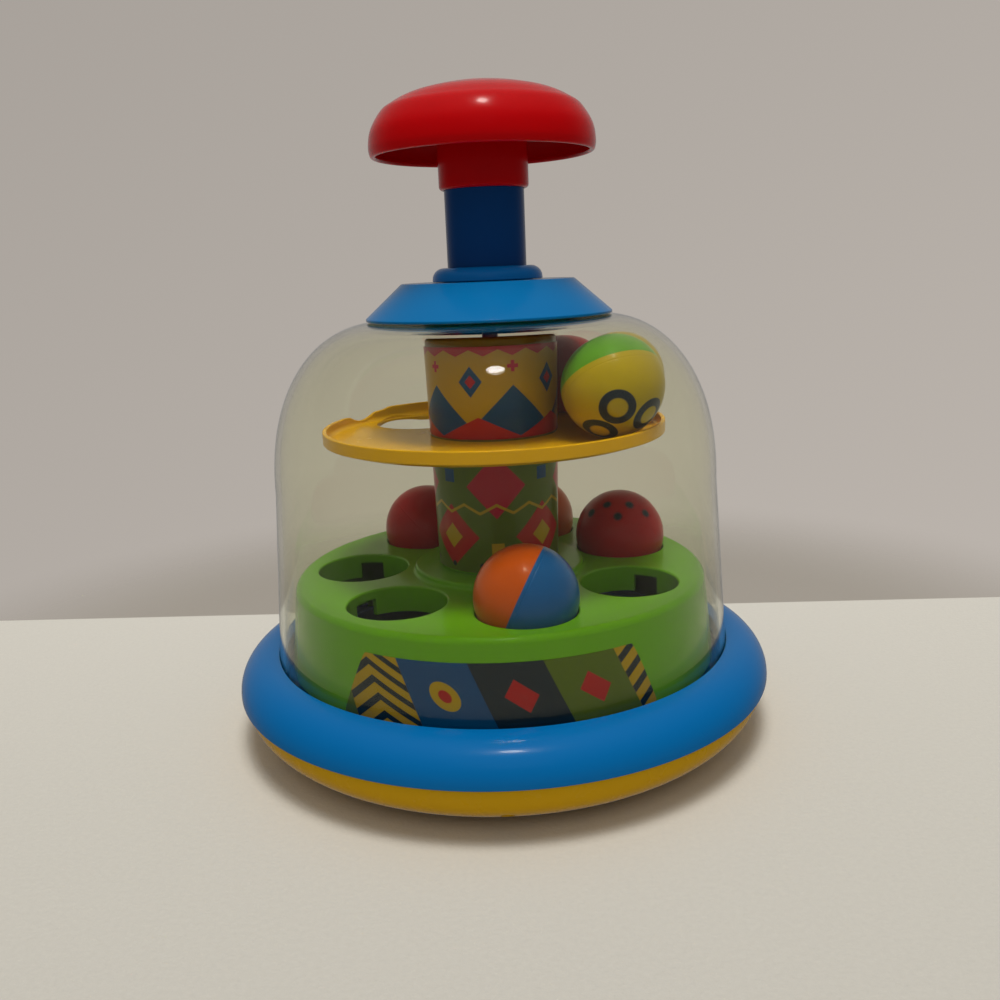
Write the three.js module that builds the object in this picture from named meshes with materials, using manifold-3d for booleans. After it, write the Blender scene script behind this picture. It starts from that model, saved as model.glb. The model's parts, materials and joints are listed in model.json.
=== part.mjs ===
// Ball drop tower: pushing the knob drives a twisted spindle through a nut, which spins a carousel of
// ball wells with a drop tray above it, inside a clear dome clamped to a bowl-shaped base.
// Millimetres and degrees, +Z up. The tower stands on z = 0 and turns about the z axis.
import * as THREE from "three";
import { mergeVertices } from "three/addons/utils/BufferGeometryUtils.js";
import Module from "manifold-3d";

const wasm = await Module();
wasm.setup();

// Clearances, and how far a cutting tool runs past what it cuts
const seatGap = 0.3;
const slideGap = 0.4;
const overrun = 1;
const weldDistance = 1e-4;

// A full turn in degrees, and the facets round one
const fullTurn = 360;
const wideSides = 32;
const midSides = 20;
const smallSides = 6;
const arcSteps = 2;
const outlineSteps = 5;

// Balls
const ballRadius = 22.5;
const ballColumns = 14;
const ballRows = 8;

// Bowl of the base
const footRadius = 87;
const bowlHeight = 25.6;
const bowlWall = 2.6;

// Blue ring that clamps the dome
const ringBulge = 16.9;
const ringRise = 15.5;
const ringCrownReach = 1.8;
const ringOverhang = 1.8;
const ringHem = 1.1;
const ringEdge = 0.4;
const ringWall = 2.6;
const ringInsideFrom = 70;
const ringInsideTo = 12;
const ringLip = 1.7;
const ringSpigotWall = 1.5;
const ringSpigotDepth = 3;

// Clear dome
const domeTaper = 5.6;
const domeRise = 75.2;
const domeHeadroom = 8.2;
const domeWall = 2.4;
const domeFlangeWidth = 3.6;
const domeFlangeThickness = 2.5;
const domeRoundness = 2.2;
const domeSteps = 5;

// Deck under the carousel
const deckLift = 3.8;
const deckThickness = 2.4;
const deckKerb = 4;
const deckKerbWidth = 6.6;

// Screws that hold the base together from below
const ringScrewCount = 6;
const ringPillarRadius = 4.3;
const ringBossRadius = 2.7;
const ringScrewGrip = 8;
const ringScrewPhase = 30;
const screwHeadRadius = 2.6;
const screwHeadHeight = 2.2;
const screwShankRadius = 1.35;
const screwSlotWidth = 0.9;
const screwSlotDepth = 1;
const deckScrewCount = 3;
const deckScrewPitch = 46;
const deckPillarRadius = 4.5;
const deckScrewLength = 14;

// Hollow post that the carousel turns on, with the return spring inside
const postRadius = 11;
const postWall = 2.6;
const postFlangeRadius = 20;
const postFlangeThickness = 2.8;
const postLipHeight = 2;
const socketWall = 2.6;
const washerRim = 0.8;
const washerThickness = 1;

// Carousel disc and its wells
const discPlate = 2.8;
const discEdge = 3;
const skirtLift = 2.6;
const skirtHeight = 39.8;
const skirtFlare = 4.1;
const skirtClearance = 4.3;
const skirtWall = 2.4;
const wellCount = 7;
const wellBossMargin = 3;
const wellRim = 8.7;
const wellPhase = -29.1;
const wellUndersize = 0.5;
const cupWall = 2.2;
const cupDepth = 12.3;
const cupWindowWidth = 11.5;
const cupWindowHeight = 8;
const hubWall = 2.9;
const bushWall = 2.7;
const bushLength = 25;
const bushFlangeThickness = 2;
const footBossWidth = 12.7;
const footBossHeight = 3.2;

// Column
const columnFlare = 2.2;
const columnClearance = 5.8;
const columnWall = 2.2;
const columnShoulder = 2.2;
const columnFlangeDepth = 6;
const columnFlangeBore = 18;
const columnScrewCount = 3;
const columnScrewWeb = 2.35;
const columnScrewRoom = 0.8;
const columnScrewGrip = 5;

// Drop tray
const trayHeadroom = 21.2;
const trayFloorThickness = 2.4;
const trayHoleWeb = 2;
const trayRimHeight = 5.2;
const trayRimWall = 2;
const trayRimDrop = 0.6;
const trayRimRound = 0.6;
const trayFillet = 2.5;
const trayUndercut = 6;
const trayLedge = 2.4;
const trayLedgeBore = 17;
const trayWallRise = 1.4;
const trayWallStart = 58;
const trayWallEnd = 139;
const trayWallRamp = 5;
const trayArcStep = 9;
const trayDipStart = 142;
const trayDipEnd = 158;
const trayDipDepth = 3.2;
const dropHoleAngle = 133;
const dropHoleClearance = 0.7;
const trayBallStart = -32;
const trayBallCount = 3;

// Labels
const labelThickness = 0.35;
const labelMargin = 2.5;
const labelFootMargin = 1;
const skirtLabelTopMargin = 9.8;
const skirtLabelTopHalfAngle = 33;
const skirtLabelBottomHalfAngle = 39;
const skirtLabelMiddleAngle = -91;
const skirtLabelEndHeight = 1.5;
const skirtLabelCurve = 1.2;
const skirtLabelSteps = 18;
const skirtLabelCount = 2;

// Clutch between the nut and the column
const clutchShelfDepth = 8;
const clutchShelfRoom = 3;
const clutchSleeveWall = 3.3;
const clutchCupFloor = 2.5;
const clutchCupSleeve = 12;
const clutchLift = 0.6;
const nutRadius = 17.4;
const nutTaper = 1.5;
const nutHeight = 8;
const nutPlay = 0.9;
const clutchCoverThickness = 2;
const clutchScrewWeb = 1.75;
const clutchScrewGrip = 6;
const spindleRoom = 1.5;
const spindleGap = 0.4;

// Push knob, tube and spindle
const stroke = 32;
const knobRadius = 50.5;
const knobHeight = 30.8;
const knobWall = 2.6;
const neckLength = 14.2;
const neckWall = 1.9;
const neckClearance = 1.6;
const neckRound = 1;
const tubeRadius = 18;
const tubeWall = 2.2;
const tubeRise = 1.2;
const tubeStopWidth = 3;
const tubeStopHeight = 3.5;
const tubeWebDepth = 9;
const tubeWebThickness = 3;
const knobBossRadius = 5;
const knobScrewGrip = 9;
const plugHeight = 10;
const spindleWidth = 7;
const spindleThickness = 2.4;
const spindleLead = 48;
const spindleSteps = 36;
const spindleGrip = 7;
const springWire = 1.2;
const springTurns = 8;
const springRoom = 4.7;
const springSteps = 8;
const springSides = 5;
const springEndRise = 1.8;
const footHeight = 8;
const footSocketDepth = 5.5;

// Cone cap and guide collar
const capHeight = 16.2;
const capTopWidth = 14.4;
const capSlope = 17;
const capOverlap = 6.6;
const capHem = 1.2;
const capRound = 1.6;
const capWall = 2.4;
const capSpigotInset = 3.6;
const capSpigotWall = 2.4;
const capHookCount = 4;
const capHookWidth = 9;
const capHookReach = 1.8;
const capHookHeight = 2;
const collarRim = 4.4;
const collarHeight = 6.3;
const collarSleeveWall = 2.4;
const collarSleeveDepth = 5.5;
const collarRound = 4;

// Radii, worked out from the post to the column, then through the wells to the dome, ring and bowl
const screwHoleRadius = screwShankRadius + seatGap;
const postBore = postRadius - postWall;
const hubBore = postRadius + seatGap + bushWall + seatGap;
const hubRadius = hubBore + hubWall;
const washerRadius = hubRadius + washerRim;
const clutchShelfBore = postRadius + slideGap + clutchSleeveWall + seatGap;
const spindlePass = spindleWidth / 2 + spindleRoom;
const nutTopRadius = nutRadius + nutTaper;
const clutchScrewPitch = nutTopRadius + slideGap + clutchScrewWeb + screwHoleRadius;
const columnScrewPitch = columnFlangeBore + columnScrewWeb + screwHoleRadius;
const columnFootRadius = clutchScrewPitch + screwHeadRadius + columnScrewRoom + columnWall;
const columnTopRadius = columnFootRadius + columnFlare;
const footBossRadius = columnFootRadius + footBossWidth;
const wellRadius = ballRadius - wellUndersize;
const cupRadius = wellRadius + cupWall;
const wellPitch = footBossRadius + footBossHeight / 2 + wellBossMargin + wellRadius;
const discRadius = wellPitch + wellRadius + wellRim;
const skirtRadius = discRadius + skirtFlare;
const domeFootRadius = skirtRadius + skirtClearance + domeWall;
const domeShoulderRadius = domeFootRadius - domeTaper;
const flangeRadius = domeFootRadius + domeFlangeWidth;
const ringCentre = domeFootRadius + ringCrownReach;
const ringRadius = ringCentre + ringBulge;
const bowlRadius = ringRadius - ringOverhang;
const ringSpigotRadius = bowlRadius - bowlWall - bowlWall / 4 - seatGap;
const ringSpigotInner = ringSpigotRadius - ringSpigotWall;
const ringScrewPitch = ringSpigotInner - 2 * seatGap - ringPillarRadius;

// Radii of the top, worked out from the push tube
const neckRadius = tubeRadius + seatGap + neckWall;
const tubeStopRadius = tubeRadius + tubeStopWidth;
const collarBore = tubeRadius + slideGap;
const collarSleeveRadius = collarBore + collarSleeveWall;
const collarRadius = collarSleeveRadius + collarRim;
const capBore = collarSleeveRadius + seatGap;
const capTopRadius = collarRadius + capTopWidth;
const capBottomRadius = capTopRadius + capSlope;
const capSpigotRadius = capTopRadius - capSpigotInset;
const domeBore = capSpigotRadius + seatGap;
const domeCrownRadius = capBottomRadius - capOverlap;

// Heights, worked out from the floor up
const ringBottom = bowlHeight + seatGap;
const ringMiddle = ringBottom + ringHem;
const deckTop = bowlHeight + deckLift;
const deckBottom = deckTop - deckThickness;
const postFlangeBottom = deckBottom - seatGap - postFlangeThickness;
const domeFoot = deckTop + deckKerb + seatGap;
const domeFlangeTop = domeFoot + domeFlangeThickness;
const ringShelf = domeFlangeTop + seatGap;
const washerBottom = deckTop + seatGap;
const bushBottom = washerBottom + washerThickness + seatGap;
const hubBottom = bushBottom + bushFlangeThickness + seatGap;
const skirtBottom = deckTop + deckKerb + skirtLift;
const discTop = skirtBottom + skirtHeight;
const cupBottom = discTop - cupDepth;
const plateBottom = discTop - discPlate;
const footBossTop = discTop + footBossHeight;
const columnBottom = footBossTop + seatGap;
const columnFootTop = columnBottom + columnFlangeDepth;
const shelfBottom = columnFootTop + clutchShelfRoom;
const shelfTop = shelfBottom + clutchShelfDepth;
const postTop = shelfTop - seatGap;
const trayFloor = discTop + 2 * ballRadius + trayHeadroom;
const ledgeTop = trayFloor - trayLedge / 2;
const ledgeBottom = ledgeTop - trayLedge;
const lowerColumnTop = ledgeBottom - seatGap;
const upperColumnBottom = ledgeTop + seatGap;
const clutchFloorTop = shelfTop + seatGap + clutchCupFloor;
const nutBottom = clutchFloorTop + clutchLift;
const nutTop = nutBottom + nutHeight;
const clutchCupTop = nutTop + nutPlay;
const clutchCoverTop = clutchCupTop + seatGap + clutchCoverThickness;
const springTopHeight = postTop - postLipHeight - springRoom - footHeight - seatGap;
const spindleFootBottom = springTopHeight + seatGap;
const spindleFootTop = spindleFootBottom + footHeight;
const spindleBottom = spindleFootTop - footSocketDepth;
const domeTopHeight = trayFloor + 2 * ballRadius + domeHeadroom;
const domeShoulderHeight = domeTopHeight - domeRise;
const columnTop = domeTopHeight - columnClearance;
const capBottom = domeTopHeight + seatGap;
const capTop = capBottom + capHeight;
const collarTop = capTop + collarHeight;
const tubeStopTop = capTop - collarSleeveDepth - seatGap;
const tubeBottom = tubeStopTop - tubeStopHeight;
const spindleTop = tubeBottom + spindleGrip;
const neckBottom = collarTop + stroke + neckClearance;
const knobRimBottom = neckBottom + neckLength;
const knobTop = knobRimBottom + knobHeight;
const tubeTop = knobRimBottom + tubeRise;
const tubeWebTop = tubeTop - tubeWebDepth;

// Drop tray and its balls, worked out from the column and the ball
const trayRecess = columnRadiusAt(trayFloor) + seatGap;
const dropHoleRadius = ballRadius + dropHoleClearance;
const trayInnerRadius = trayRecess + 2 * dropHoleRadius + trayHoleWeb;
const trayRadius = trayInnerRadius + trayRimWall;
const dropHolePitch = (trayRecess + trayInnerRadius) / 2;
const trayRimTop = trayFloor + trayRimHeight;
const trayRimBottom = trayFloor - trayRimDrop;
const trayWallTop = trayRimTop + trayWallRise;
const trayBallHeight = trayFloor + ballRadius + seatGap;
const trayBallReach = Math.sqrt((ballRadius + seatGap) ** 2 - (trayBallHeight - trayWallTop) ** 2);
const trayBallPitch = trayInnerRadius - trayBallReach - seatGap;
const trayBallStep = 2 * Math.asin((ballRadius + seatGap) / trayBallPitch) * THREE.MathUtils.RAD2DEG;
const seatHeight = Math.sqrt((ballRadius + seatGap) ** 2 - wellRadius ** 2);

// Skirt labels
const skirtLabelTop = discTop - skirtLabelTopMargin;
const skirtLabelBottom = skirtBottom + labelMargin;

function columnRadiusAt(z) {
  return THREE.MathUtils.mapLinear(z, columnBottom, columnTop, columnFootRadius, columnTopRadius);
}

function skirtRadiusAt(z) {
  return THREE.MathUtils.mapLinear(z, plateBottom, skirtBottom, discRadius, skirtRadius);
}

function domeRadiusAt(z) {
  return THREE.MathUtils.mapLinear(z, domeFoot, domeShoulderHeight, domeFootRadius, domeShoulderRadius);
}

// Solids: geometry is welded, turned the right way out and handed to manifold-3d
function solidOf(geometry) {
  const bare = geometry.clone();
  bare.deleteAttribute("normal");
  bare.deleteAttribute("uv");
  const welded = mergeVertices(bare, weldDistance);
  const corners = [];
  const index = welded.index.array;
  for (let i = 0; i < index.length; i += 3) {
    const [a, b, c] = index.slice(i, i + 3);
    if (a !== b && b !== c && c !== a) corners.push(a, b, c);
  }
  const vertProperties = new Float32Array(welded.attributes.position.array);
  const made = new wasm.Manifold(
    new wasm.Mesh({ numProp: 3, vertProperties, triVerts: new Uint32Array(corners) }),
  );
  if (made.volume() > 0) return made;
  corners.reverse();
  return new wasm.Manifold(
    new wasm.Mesh({ numProp: 3, vertProperties, triVerts: new Uint32Array(corners) }),
  );
}

function joined(...solids) {
  return solids.flat().reduce((whole, next) => whole.add(next));
}

function cut(solid, ...tools) {
  return tools.flat().reduce((whole, tool) => whole.subtract(tool), solid);
}

// A profile of [radius, z] points turned about the z axis
function turnedShape(profile, sides) {
  const points = profile.map(([r, z]) => new THREE.Vector2(r, z));
  const first = points[0];
  const last = points[points.length - 1];
  if (first.x > 0 || last.x > 0) points.push(first.clone());
  const geometry = new THREE.LatheGeometry(points, sides);
  geometry.rotateX(Math.PI / 2);
  return geometry;
}

function turned(profile, sides) {
  return solidOf(turnedShape(profile, sides));
}

function rodShape(radius, bottom, top, sides) {
  return turnedShape([[0, bottom], [radius, bottom], [radius, top], [0, top]], sides);
}

function rod(radius, bottom, top, sides) {
  return solidOf(rodShape(radius, bottom, top, sides));
}

function sleeve(outer, inner, bottom, top, sides) {
  return turned([[inner, bottom], [outer, bottom], [outer, top], [inner, top]], sides);
}

function blockShape(x0, x1, y0, y1, z0, z1) {
  const geometry = new THREE.BoxGeometry(x1 - x0, y1 - y0, z1 - z0);
  geometry.translate((x0 + x1) / 2, (y0 + y1) / 2, (z0 + z1) / 2);
  return geometry;
}

// A geometry moved out along x and turned about the z axis
function spun(geometry, pitch, degrees) {
  return geometry.clone().translate(pitch, 0, 0).rotateZ(THREE.MathUtils.degToRad(degrees));
}

function ringOf(geometry, count, pitch, phase) {
  const step = fullTurn / count;
  return Array.from({ length: count }, (_, i) => solidOf(spun(geometry, pitch, phase + step * i)));
}

// Points on an arc about (r, z), from one angle to another in degrees
function arc(r, z, radius, from, to, steps = arcSteps) {
  return Array.from({ length: steps + 1 }, (_, i) => {
    const angle = THREE.MathUtils.degToRad(THREE.MathUtils.lerp(from, to, i / steps));
    return [r + radius * Math.cos(angle), z + radius * Math.sin(angle)];
  });
}

// A closed skin over rings of points: each ring is a loop, and flat fans close both ends
function loft(rings) {
  const sides = rings[0].length;
  const positions = rings.flat().flatMap((point) => point);
  const corners = [];
  for (let r = 0; r + 1 < rings.length; r += 1) {
    for (let s = 0; s < sides; s += 1) {
      const a = r * sides + s;
      const b = r * sides + ((s + 1) % sides);
      corners.push(a, b, b + sides, a, b + sides, a + sides);
    }
  }
  const end = (rings.length - 1) * sides;
  for (let s = 1; s + 1 < sides; s += 1) {
    corners.push(0, s + 1, s, end, end + s, end + s + 1);
  }
  const geometry = new THREE.BufferGeometry();
  geometry.setAttribute("position", new THREE.Float32BufferAttribute(positions, 3));
  geometry.setIndex(corners);
  return geometry;
}

// Materials
function plastic(name, color, roughness) {
  return new THREE.MeshStandardMaterial({ name, color, roughness, metalness: 0 });
}

const redPlastic = plastic("red_plastic", 0xd21414, 0.25);
const navyPlastic = plastic("navy_plastic", 0x0b3a78, 0.35);
const bluePlastic = plastic("blue_plastic", 0x0a78c8, 0.3);
const yellowPlastic = plastic("yellow_plastic", 0xf2c400, 0.3);
const greenPlastic = plastic("green_plastic", 0x7ac21f, 0.3);
const whitePlastic = plastic("white_plastic", 0xe9e7df, 0.45);
const orangePlastic = plastic("orange_plastic", 0xf07818, 0.35);
const labelFilm = plastic("label_film", 0xe0b028, 0.4);
const steel = new THREE.MeshStandardMaterial({
  name: "steel",
  color: 0xb8bcc0,
  roughness: 0.35,
  metalness: 1,
});
const clearPlastic = new THREE.MeshStandardMaterial({
  name: "clear_plastic",
  color: 0xf6f8f8,
  roughness: 0.08,
  metalness: 0,
  transparent: true,
  opacity: 0.25,
});

const tower = new THREE.Group();
tower.name = "ball_drop_tower";

function piece(group, name, solid, material) {
  const { vertProperties, triVerts } = solid.getMesh();
  const geometry = new THREE.BufferGeometry();
  geometry.setAttribute("position", new THREE.BufferAttribute(new Float32Array(vertProperties), 3));
  geometry.setIndex(new THREE.BufferAttribute(new Uint32Array(triVerts), 1));
  geometry.computeVertexNormals();
  const mesh = new THREE.Mesh(geometry, material);
  mesh.name = name;
  group.add(mesh);
}

function subGroup(name) {
  const group = new THREE.Group();
  group.name = name;
  tower.add(group);
  return group;
}

// A slotted screw whose head is at its lower end, or at its upper end when it points down
function screwShape(headEnd, tip) {
  const up = Math.sign(tip - headEnd);
  const shoulder = headEnd + up * screwHeadHeight;
  const body = turned(
    [[0, headEnd], [screwHeadRadius, headEnd], [screwHeadRadius, shoulder],
      [screwShankRadius, shoulder], [screwShankRadius, tip], [0, tip]],
    smallSides,
  );
  const slotEnds = [headEnd - up * overrun, headEnd + up * screwSlotDepth].sort((a, b) => a - b);
  const reach = screwHeadRadius + overrun;
  const slot = blockShape(-reach, reach, -screwSlotWidth / 2, screwSlotWidth / 2, ...slotEnds);
  return cut(body, solidOf(slot));
}

function screws(group, name, headEnd, tip, count, pitch, phase) {
  const screw = screwShape(headEnd, tip).getMesh();
  const geometry = new THREE.BufferGeometry();
  geometry.setAttribute("position", new THREE.BufferAttribute(new Float32Array(screw.vertProperties), 3));
  geometry.setIndex(new THREE.BufferAttribute(new Uint32Array(screw.triVerts), 1));
  ringOf(geometry, count, pitch, phase).forEach((solid, i) => piece(group, `${name}_${i + 1}`, solid, steel));
}

// Bowl: an elliptical shell with screw pillars, deck pillars and a socket for the post
const ringScrewShoulder = bowlHeight - ringScrewGrip;

function bowlOutline(radius, foot, bottom) {
  return Array.from({ length: outlineSteps + 1 }, (_, i) => {
    const angle = (Math.PI / 2) * (i / outlineSteps);
    const r = foot + (radius - foot) * Math.sin(angle);
    return [r, bowlHeight - (bowlHeight - bottom) * Math.cos(angle)];
  });
}

function bowlSolid() {
  const outside = bowlOutline(bowlRadius, footRadius, 0);
  const inside = bowlOutline(bowlRadius - bowlWall, footRadius, bowlWall);
  const shell = turned([[0, 0], ...outside, ...inside.reverse(), [0, bowlWall]], wideSides);
  const full = turned([[0, 0], ...outside, [0, bowlHeight]], wideSides);
  const ringPillar = rodShape(ringPillarRadius, bowlWall / 2, bowlHeight, smallSides);
  const deckPillar = rodShape(deckPillarRadius, bowlWall / 2, deckBottom - seatGap, smallSides);
  const socketBore = postRadius + seatGap;
  const socketTop = postFlangeBottom - seatGap;
  const ringPillars = ringOf(ringPillar, ringScrewCount, ringScrewPitch, ringScrewPhase);
  const body = joined(
    shell,
    ringPillars.map((pillar) => pillar.intersect(full)),
    ringOf(deckPillar, deckScrewCount, deckScrewPitch, 0),
    sleeve(socketBore + socketWall, socketBore, bowlWall / 2, socketTop, midSides),
  );
  const counterbore = rodShape(screwHeadRadius + slideGap, -overrun, ringScrewShoulder, smallSides);
  const shaft = rodShape(screwHoleRadius, 0, bowlHeight + overrun, smallSides);
  const deckHole = rodShape(screwHoleRadius, deckTop - deckScrewLength - overrun, deckTop, smallSides);
  return cut(
    body,
    ringOf(counterbore, ringScrewCount, ringScrewPitch, ringScrewPhase),
    ringOf(shaft, ringScrewCount, ringScrewPitch, ringScrewPhase),
    ringOf(deckHole, deckScrewCount, deckScrewPitch, 0),
  );
}

// Ring: a fat band of oval section whose lip holds the dome's flange down, with screw bosses inside
function ringArc(inset, from, to, steps) {
  return arc(0, 0, 1, from, to, steps).map(([across, up]) => [
    ringCentre + (ringBulge - inset) * across,
    ringMiddle + (ringRise - inset) * up,
  ]);
}

function ringSolid() {
  const outside = ringArc(0, 0, 90, outlineSteps);
  const inside = ringArc(ringWall, ringInsideFrom, ringInsideTo);
  const stepHeight = inside[inside.length - 1][1];
  const ringTop = ringMiddle + ringRise;
  const lipTop = ringTop - ringLip;
  const lipRadius = domeRadiusAt(lipTop) + seatGap;
  const spigotBottom = bowlHeight - ringSpigotDepth;
  const band = turned(
    [
      [ringRadius - ringEdge, ringBottom],
      ...outside,
      [lipRadius + ringLip / 2, ringTop - ringLip / 4],
      [lipRadius, lipTop],
      [domeRadiusAt(ringShelf) + seatGap, ringShelf],
      [flangeRadius + seatGap, ringShelf],
      ...inside,
      [ringSpigotInner, stepHeight],
      [ringSpigotInner, spigotBottom],
      [ringSpigotRadius, spigotBottom],
      [ringSpigotRadius, ringBottom],
    ],
    wideSides,
  );
  const full = turned([[0, ringBottom], [ringRadius - ringEdge, ringBottom], ...outside, [0, ringTop]], wideSides);
  const boss = rodShape(ringBossRadius, ringBottom, ringTop, smallSides);
  const hole = rodShape(screwHoleRadius, 0, bowlHeight + ringScrewGrip + overrun, smallSides);
  const bosses = ringOf(boss, ringScrewCount, ringScrewPitch, ringScrewPhase);
  return cut(
    joined(band, bosses.map((solid) => solid.intersect(full))),
    ringOf(hole, ringScrewCount, ringScrewPitch, ringScrewPhase),
  );
}

function deckSolid() {
  const plate = turned(
    [
      [postRadius + seatGap, deckBottom],
      [flangeRadius, deckBottom],
      [flangeRadius, deckTop + deckKerb],
      [flangeRadius - deckKerbWidth, deckTop + deckKerb],
      [flangeRadius - deckKerbWidth, deckTop],
      [postRadius + seatGap, deckTop],
    ],
    wideSides,
  );
  const hole = rodShape(screwHoleRadius, deckBottom - overrun, deckTop + overrun, smallSides);
  return cut(plate, ringOf(hole, deckScrewCount, deckScrewPitch, 0));
}

// Dome: a slightly tapered wall that rounds over in a superellipse to a flat crown with a bore
function domeShoulder(wall) {
  const across = domeShoulderRadius - domeCrownRadius - wall;
  const up = domeTopHeight - domeShoulderHeight - wall;
  return Array.from({ length: domeSteps + 1 }, (_, i) => {
    const angle = (Math.PI / 2) * (i / domeSteps);
    const power = 2 / domeRoundness;
    const r = domeCrownRadius + across * Math.abs(Math.cos(angle)) ** power;
    return [i === domeSteps ? domeCrownRadius : r, domeShoulderHeight + up * Math.sin(angle) ** power];
  });
}

function domeSolid() {
  return turned(
    [
      [domeFootRadius - domeWall, domeFoot],
      [flangeRadius, domeFoot],
      [flangeRadius, domeFlangeTop],
      [domeRadiusAt(domeFlangeTop), domeFlangeTop],
      ...domeShoulder(0),
      [domeBore, domeTopHeight],
      [domeBore, domeTopHeight - domeWall],
      ...domeShoulder(domeWall).reverse(),
    ],
    wideSides,
  );
}

function capSolid() {
  const spigotBottom = domeTopHeight - domeWall - seatGap;
  const hookBottom = spigotBottom - capHookHeight;
  const spigotInner = capSpigotRadius - capSpigotWall;
  const shell = turned(
    [
      [spigotInner, spigotBottom],
      [capSpigotRadius, spigotBottom],
      [capSpigotRadius, capBottom],
      [capBottomRadius, capBottom],
      [capBottomRadius, capBottom + capHem],
      [capTopRadius, capTop - capRound],
      [capTopRadius - capRound / 3, capTop - capRound / 3],
      [capTopRadius - capRound, capTop],
      [capBore, capTop],
      [capBore, capTop - capWall],
      [capTopRadius - capWall, capTop - capWall],
      [capBottomRadius - 2 * capWall, capBottom + capWall],
      [spigotInner, capBottom + capWall],
    ],
    midSides,
  );
  const side = capHookWidth / 2;
  const root = capSpigotRadius - capSpigotWall / 2;
  const stem = blockShape(spigotInner + seatGap, root, -side, side, hookBottom, capBottom);
  const hook = blockShape(
    root - seatGap, capSpigotRadius + capHookReach, -side, side, hookBottom, spigotBottom,
  );
  return joined(shell, ringOf(stem, capHookCount, 0, 0), ringOf(hook, capHookCount, 0, 0));
}

function collarSolid() {
  const seat = capTop + seatGap;
  return turned(
    [
      [collarBore, capTop - collarSleeveDepth],
      [collarSleeveRadius, capTop - collarSleeveDepth],
      [collarSleeveRadius, seat],
      [collarRadius, seat],
      ...arc(collarRadius - collarRound, collarTop - collarRound, collarRound, 0, 90),
      [collarBore, collarTop],
    ],
    midSides,
  );
}

function postSolid() {
  const bottom = bowlWall + seatGap;
  const flangeTop = postFlangeBottom + postFlangeThickness;
  return turned(
    [
      [postBore, bottom],
      [postRadius, bottom],
      [postRadius, postFlangeBottom],
      [postFlangeRadius, postFlangeBottom],
      [postFlangeRadius, flangeTop],
      [postRadius, flangeTop],
      [postRadius, postTop],
      [spindlePass, postTop],
      [spindlePass, postTop - postLipHeight],
      [postBore, postTop - postLipHeight],
    ],
    midSides,
  );
}

// Carousel disc: plate, conical skirt, hub, foot boss and open-bottomed cups with two side windows
function discSolid() {
  const filletRadius = footBossRadius + footBossHeight / 2;
  const body = turned(
    [
      [hubBore, hubBottom],
      [hubRadius, hubBottom],
      [hubRadius, plateBottom],
      [discRadius - skirtWall, plateBottom],
      [skirtRadius - skirtWall, skirtBottom],
      [skirtRadius, skirtBottom],
      ...arc(discRadius - discEdge, discTop - discEdge, discEdge, 0, 90),
      [filletRadius, discTop],
      [footBossRadius, footBossTop - footBossHeight / 3],
      [footBossRadius - footBossHeight / 3, footBossTop],
      [hubBore, footBossTop],
    ],
    wideSides,
  );
  const cup = rodShape(cupRadius, cupBottom, plateBottom + discPlate / 2, midSides);
  const wellCorner = wellRadius / Math.cos(Math.PI / midSides);
  const well = rodShape(wellCorner, cupBottom - overrun, discTop + overrun, midSides);
  const windows = blockShape(
    -cupWindowWidth / 2, cupWindowWidth / 2,
    -cupRadius - overrun, cupRadius + overrun,
    cupBottom - overrun, cupBottom + cupWindowHeight,
  );
  const hole = rodShape(screwHoleRadius, plateBottom - overrun, footBossTop + overrun, smallSides);
  return cut(
    joined(body, ringOf(cup, wellCount, wellPitch, wellPhase)),
    ringOf(well, wellCount, wellPitch, wellPhase),
    ringOf(windows, wellCount, wellPitch, wellPhase),
    ringOf(hole, columnScrewCount, columnScrewPitch, 0),
  );
}

function hubBushSolid() {
  const bore = postRadius + seatGap;
  return turned(
    [
      [bore, bushBottom],
      [hubRadius, bushBottom],
      [hubRadius, bushBottom + bushFlangeThickness],
      [bore + bushWall, bushBottom + bushFlangeThickness],
      [bore + bushWall, bushBottom + bushLength],
      [bore, bushBottom + bushLength],
    ],
    midSides,
  );
}

// Column: two tapered tubes that clamp the tray's ledge between their flanges
function columnInnerAt(z) {
  return columnRadiusAt(z) - columnWall;
}

function lowerColumnSolid() {
  const headBottom = lowerColumnTop - columnFlangeDepth;
  const tube = turned(
    [
      [columnFlangeBore, columnBottom],
      [columnRadiusAt(columnBottom), columnBottom],
      [columnRadiusAt(lowerColumnTop), lowerColumnTop],
      [columnFlangeBore, lowerColumnTop],
      [columnFlangeBore, headBottom],
      [columnInnerAt(headBottom), headBottom],
      [columnInnerAt(shelfTop), shelfTop],
      [clutchShelfBore, shelfTop],
      [clutchShelfBore, shelfBottom],
      [columnInnerAt(shelfBottom), shelfBottom],
      [columnInnerAt(columnFootTop), columnFootTop],
      [columnFlangeBore, columnFootTop],
    ],
    midSides,
  );
  const footHole = rodShape(screwHoleRadius, columnBottom - overrun, columnFootTop + overrun, smallSides);
  const headHole = rodShape(screwHoleRadius, headBottom - overrun, lowerColumnTop + overrun, smallSides);
  const clutchHoleBottom = shelfTop - clutchScrewGrip - overrun;
  const clutchHole = rodShape(screwHoleRadius, clutchHoleBottom, shelfTop + overrun, smallSides);
  return cut(
    tube,
    ringOf(footHole, columnScrewCount, columnScrewPitch, 0),
    ringOf(headHole, columnScrewCount, columnScrewPitch, 0),
    ringOf(clutchHole, columnScrewCount, clutchScrewPitch, 0),
  );
}

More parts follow.
